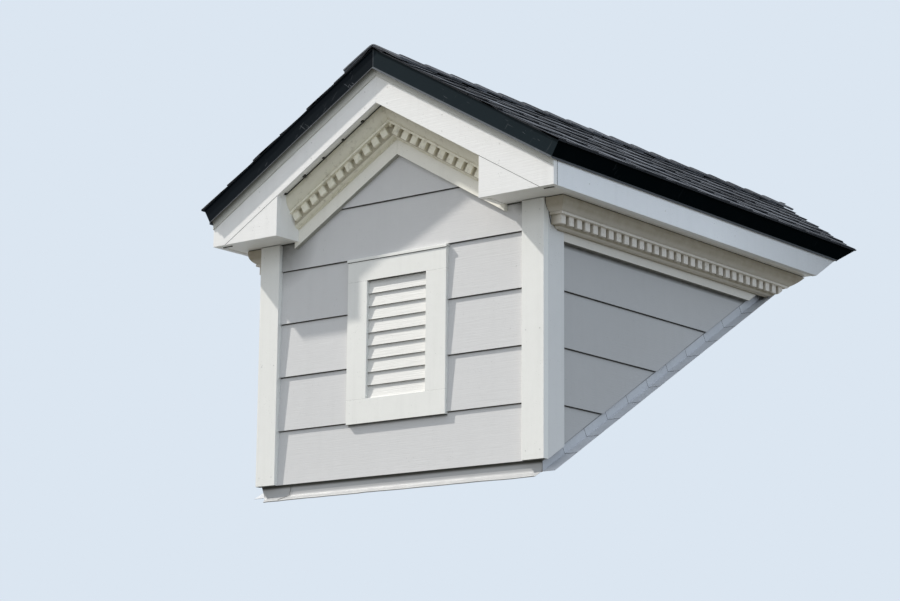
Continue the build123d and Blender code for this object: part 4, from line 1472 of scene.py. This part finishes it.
class DORMER_OT_vent(bpy.types.Operator):
    """Casing, drip cap, lining and fixed blades of the vent"""

    bl_idname = "dormer.vent"
    bl_label = "Vent"

    def execute(self, context):
        vent = dormer().vent
        for node in ("vent_casing_head", "vent_casing_sill", "vent_casing_stiles", "louvre_frame",
                     "vent_cap"):
            shape = solid_copy(node)
            # Painted shade: the faces that face down are darkened
            mark_dirt_and_painted_light(shape, faces_down)
            place_piece(f"{node}_trim", shape, white_paint("Z"), [node], 0.0006)
        # Painted shadow: a dark line under the drip cap
        low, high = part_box("vent_cap")
        under_cap = [Vector((x, CASING_LOW.y - 0.0006, low.z - 0.0006))
                     for x in (low.x + 0.003, high.x - 0.003)]
        open_joint("vent_cap_joint", under_cap, 0.0024, 0.0012, 0.08, 30)
        # Painted shade: the blades' paint is a darker copy of the casing's white, as the blades face the key
        # light more
        paint = board_paint("Louvre paint", dormer().finish.louvre, "X", relief=0.0009)
        pitch = (VENT_HIGH.z - VENT_LOW.z) / vent.count
        shape = grown_shape(blade_tree(paint), {
            "Count": vent.count, "Pitch": pitch, "Length": VENT_HIGH.x - VENT_LOW.x - 0.0006,
            "Thickness": vent.thickness, "Height": pitch + vent.lap, "Lean": vent.lean, "Seed": 2})
        shift(shape, (0, VENT_LOW.y + vent.setback, VENT_LOW.z))
        cut(shape, VENT_HIGH - UP * 0.0004, -UP)
        cut(shape, VENT_LOW + UP * 0.0001, UP)
        # Painted shade: the blades' lower faces are darkened
        mark_dirt_and_painted_light(shape, faces_down)
        place_piece("louvre_blades_set", shape, paint, ["louvre_blades"], 0.0006)
        return {"FINISHED"}


class DORMER_OT_nails(bpy.types.Operator):
    """Painted nail heads in the corner boards, rake boards and fascias"""

    bl_idname = "dormer.nails"
    bl_label = "Nails"

    def execute(self, context):
        faded = [channel * 0.82 for channel in dormer().finish.trim]
        paint = board_paint("Painted nail heads", faded, "X", dirt=0.3)
        tree = nail_tree(paint)
        inset = 0.016
        outer, inner = TRIM_X - inset, TRIM_X - CORNER_WIDTH + inset
        corners = [[(x, FRONT_Y, FOOT_Z + 0.03), (x, FRONT_Y, SOFFIT_Z - 0.04)]
                   for x in (-outer, -inner, inner, outer)]
        rakes = [[(side * x, RAKE_Y, RIDGE_Z - depth / RUN - SLOPE * x) for x in (0.05, 0.53)]
                 for hand, side in SIDES for depth in (0.097, 0.146)]
        self.heads(tree, "corner_board_nails", corners, 0.39, (0, -1, 0), paint)
        for hand, side in SIDES:
            fascia = [(side * FASCIA_X, y, DRIP_Z + 0.042) for y in (0.0, 1.35)]
            self.heads(tree, f"fascia_nails_{hand}", [fascia], 0.405, (side, 0, 0), paint)
        self.heads(tree, "rake_board_nails", rakes, 0.27, (0, -1, 0), paint)
        return {"FINISHED"}

    def heads(self, tree, name, lines, spacing, facing, paint):
        """Nail heads along lines, as one piece that stands for no packed one."""
        values = {"Spacing": spacing, "Radius": 0.0026, "Height": 0.0006, "Facing": facing}
        place_piece(name, grown_shape(tree, values, line_mesh(lines)), paint, [])


def seen_ray(nodes, path):
    """1 for rays that show the background: straight, mirrored or through glass."""
    return nodes.most(path["Is Camera Ray"], path["Is Glossy Ray"], path["Is Transmission Ray"])


class DORMER_OT_stage(bpy.types.Operator):
    """Pale floor and backdrop, soft light and the photograph's camera"""

    bl_idname = "dormer.stage"
    bl_label = "Stage"

    def execute(self, context):
        light = dormer().light
        wide = math.radians(100)
        self.camera(context.scene)
        self.floor(light)
        self.world(context.scene, light)
        self.sun("key light", (2.35, 1.0, -2.6), light.key, light.softness, (1.0, 0.965, 0.91))
        self.sun("fill light", (0.35, 1.0, -0.45), light.fill, wide, (1.0, 0.97, 0.92))
        self.sun("side light", (-1.0, 0.25, -0.35), light.side, wide, (0.64, 0.81, 1.0))
        context.scene.view_settings.view_transform = "Standard"
        return {"FINISHED"}

    def camera(self, scene):
        """Camera at the photograph's place, turned by its yaw, pitch and roll."""
        lens = bpy.data.cameras.new("camera")
        lens.sensor_width = SENSOR
        lens.lens = FOCAL_PIXELS / PHOTO_WIDTH * SENSOR
        lens.clip_end = 200
        view = Vector((-math.sin(CAMERA_YAW) * math.cos(CAMERA_PITCH),
                       math.cos(CAMERA_YAW) * math.cos(CAMERA_PITCH), math.sin(CAMERA_PITCH)))
        right = Vector((math.cos(CAMERA_YAW), math.sin(CAMERA_YAW), 0))
        up = right.cross(view)
        across = right * math.cos(CAMERA_ROLL) + up * math.sin(CAMERA_ROLL)
        top = up * math.cos(CAMERA_ROLL) - right * math.sin(CAMERA_ROLL)
        camera = link("camera", lens)
        turned = Matrix((across, top, -view)).transposed().to_4x4()
        camera.matrix_world = Matrix.Translation(CAMERA_PLACE) @ turned
        scene.camera = camera

    def floor(self, light):
        """Floor well below the part, clear from underneath, with its own colour as seen."""
        made, nodes, shader = new_material("Pale floor")
        path = nodes.add("ShaderNodeLightPath").outputs
        nodes.put(shader.inputs["Base Color"],
                  nodes.mix(seen_ray(nodes, path), opaque(light.bounce), opaque(light.floor)))
        shader.inputs["Roughness"].default_value = 0.9
        below = nodes.times(nodes.add("ShaderNodeNewGeometry").outputs["Backfacing"], path["Is Camera Ray"])
        clear = nodes.give("ShaderNodeBsdfTransparent")
        both = nodes.give("ShaderNodeMixShader", {0: below, 1: shader.outputs[0], 2: clear})
        nodes.put(made.node_tree.nodes["Material Output"].inputs["Surface"], both)
        mesh = bpy.data.meshes.new("floor")
        reach, low = 60.0, -3.4
        mesh.from_pydata([(-reach, -reach, low), (reach, -reach, low), (reach, reach, low),
                          (-reach, reach, low)], [], [(0, 1, 2, 3)])
        mesh.materials.append(made)
        link("floor", mesh)

    def world(self, scene, light):
        """Soft light from all round, with a pale backdrop as seen."""
        world = bpy.data.worlds.new("sky")
        scene.world = world
        world.use_nodes = True
        world.node_tree.nodes.clear()
        nodes = Nodes(world.node_tree)
        seen = seen_ray(nodes, nodes.add("ShaderNodeLightPath").outputs)
        soft = nodes.give("ShaderNodeBackground", {"Color": (0.84, 0.90, 1.0, 1.0), "Strength": light.sky})
        pale = nodes.give("ShaderNodeBackground", {"Color": opaque(light.backdrop), "Strength": 1.0})
        both = nodes.give("ShaderNodeMixShader", {0: seen, 1: soft, 2: pale})
        nodes.add("ShaderNodeOutputWorld", {"Surface": both})

    def sun(self, name, travel, strength, width, colour):
        """Lamp whose light travels one way, as wide as its angle."""
        lamp = bpy.data.lights.new(name, "SUN")
        lamp.energy = strength
        lamp.angle = width
        lamp.color = colour
        link(name, lamp).rotation_euler = Vector(travel).to_track_quat("-Z", "Y").to_euler()


OPERATORS = (DORMER_OT_frame, DORMER_OT_sheathing, DORMER_OT_siding, DORMER_OT_trim,
             DORMER_OT_overhangs, DORMER_OT_mouldings, DORMER_OT_edge_metal, DORMER_OT_shingles,
             DORMER_OT_ridge_caps, DORMER_OT_flashing, DORMER_OT_vent, DORMER_OT_nails,
             DORMER_OT_stage)


class DORMER_PT_panel(bpy.types.Panel):
    """Lists the dormer's pieces and settings"""

    bl_idname = "DORMER_PT_panel"
    bl_label = "Vent dormer"
    bl_space_type = "VIEW_3D"
    bl_region_type = "UI"
    bl_category = "Dormer"

    def draw(self, context):
        chosen = context.scene.dormer
        for group in (chosen.finish, chosen.metal, chosen.roofing, chosen.vent, chosen.light):
            box = self.layout.box()
            for name in group.bl_rna.properties.keys():
                if name not in ("rna_type", "name"):
                    box.prop(group, name)
        for operator in OPERATORS:
            self.layout.operator(operator.bl_idname)


CLASSES = (DormerFinish, DormerMetal, DormerRoofing, DormerVent, DormerLight, DormerSettings,
           *OPERATORS, DORMER_PT_panel)


def register():
    for item in CLASSES:
        bpy.utils.register_class(item)
    bpy.types.Scene.dormer = PointerProperty(type=DormerSettings)


def unregister():
    del bpy.types.Scene.dormer
    for item in reversed(CLASSES):
        bpy.utils.unregister_class(item)


def main():
    register()
    for item in OPERATORS:
        group, name = item.bl_idname.split(".")
        getattr(getattr(bpy.ops, group), name)()


if __name__ == "__main__":
    main()
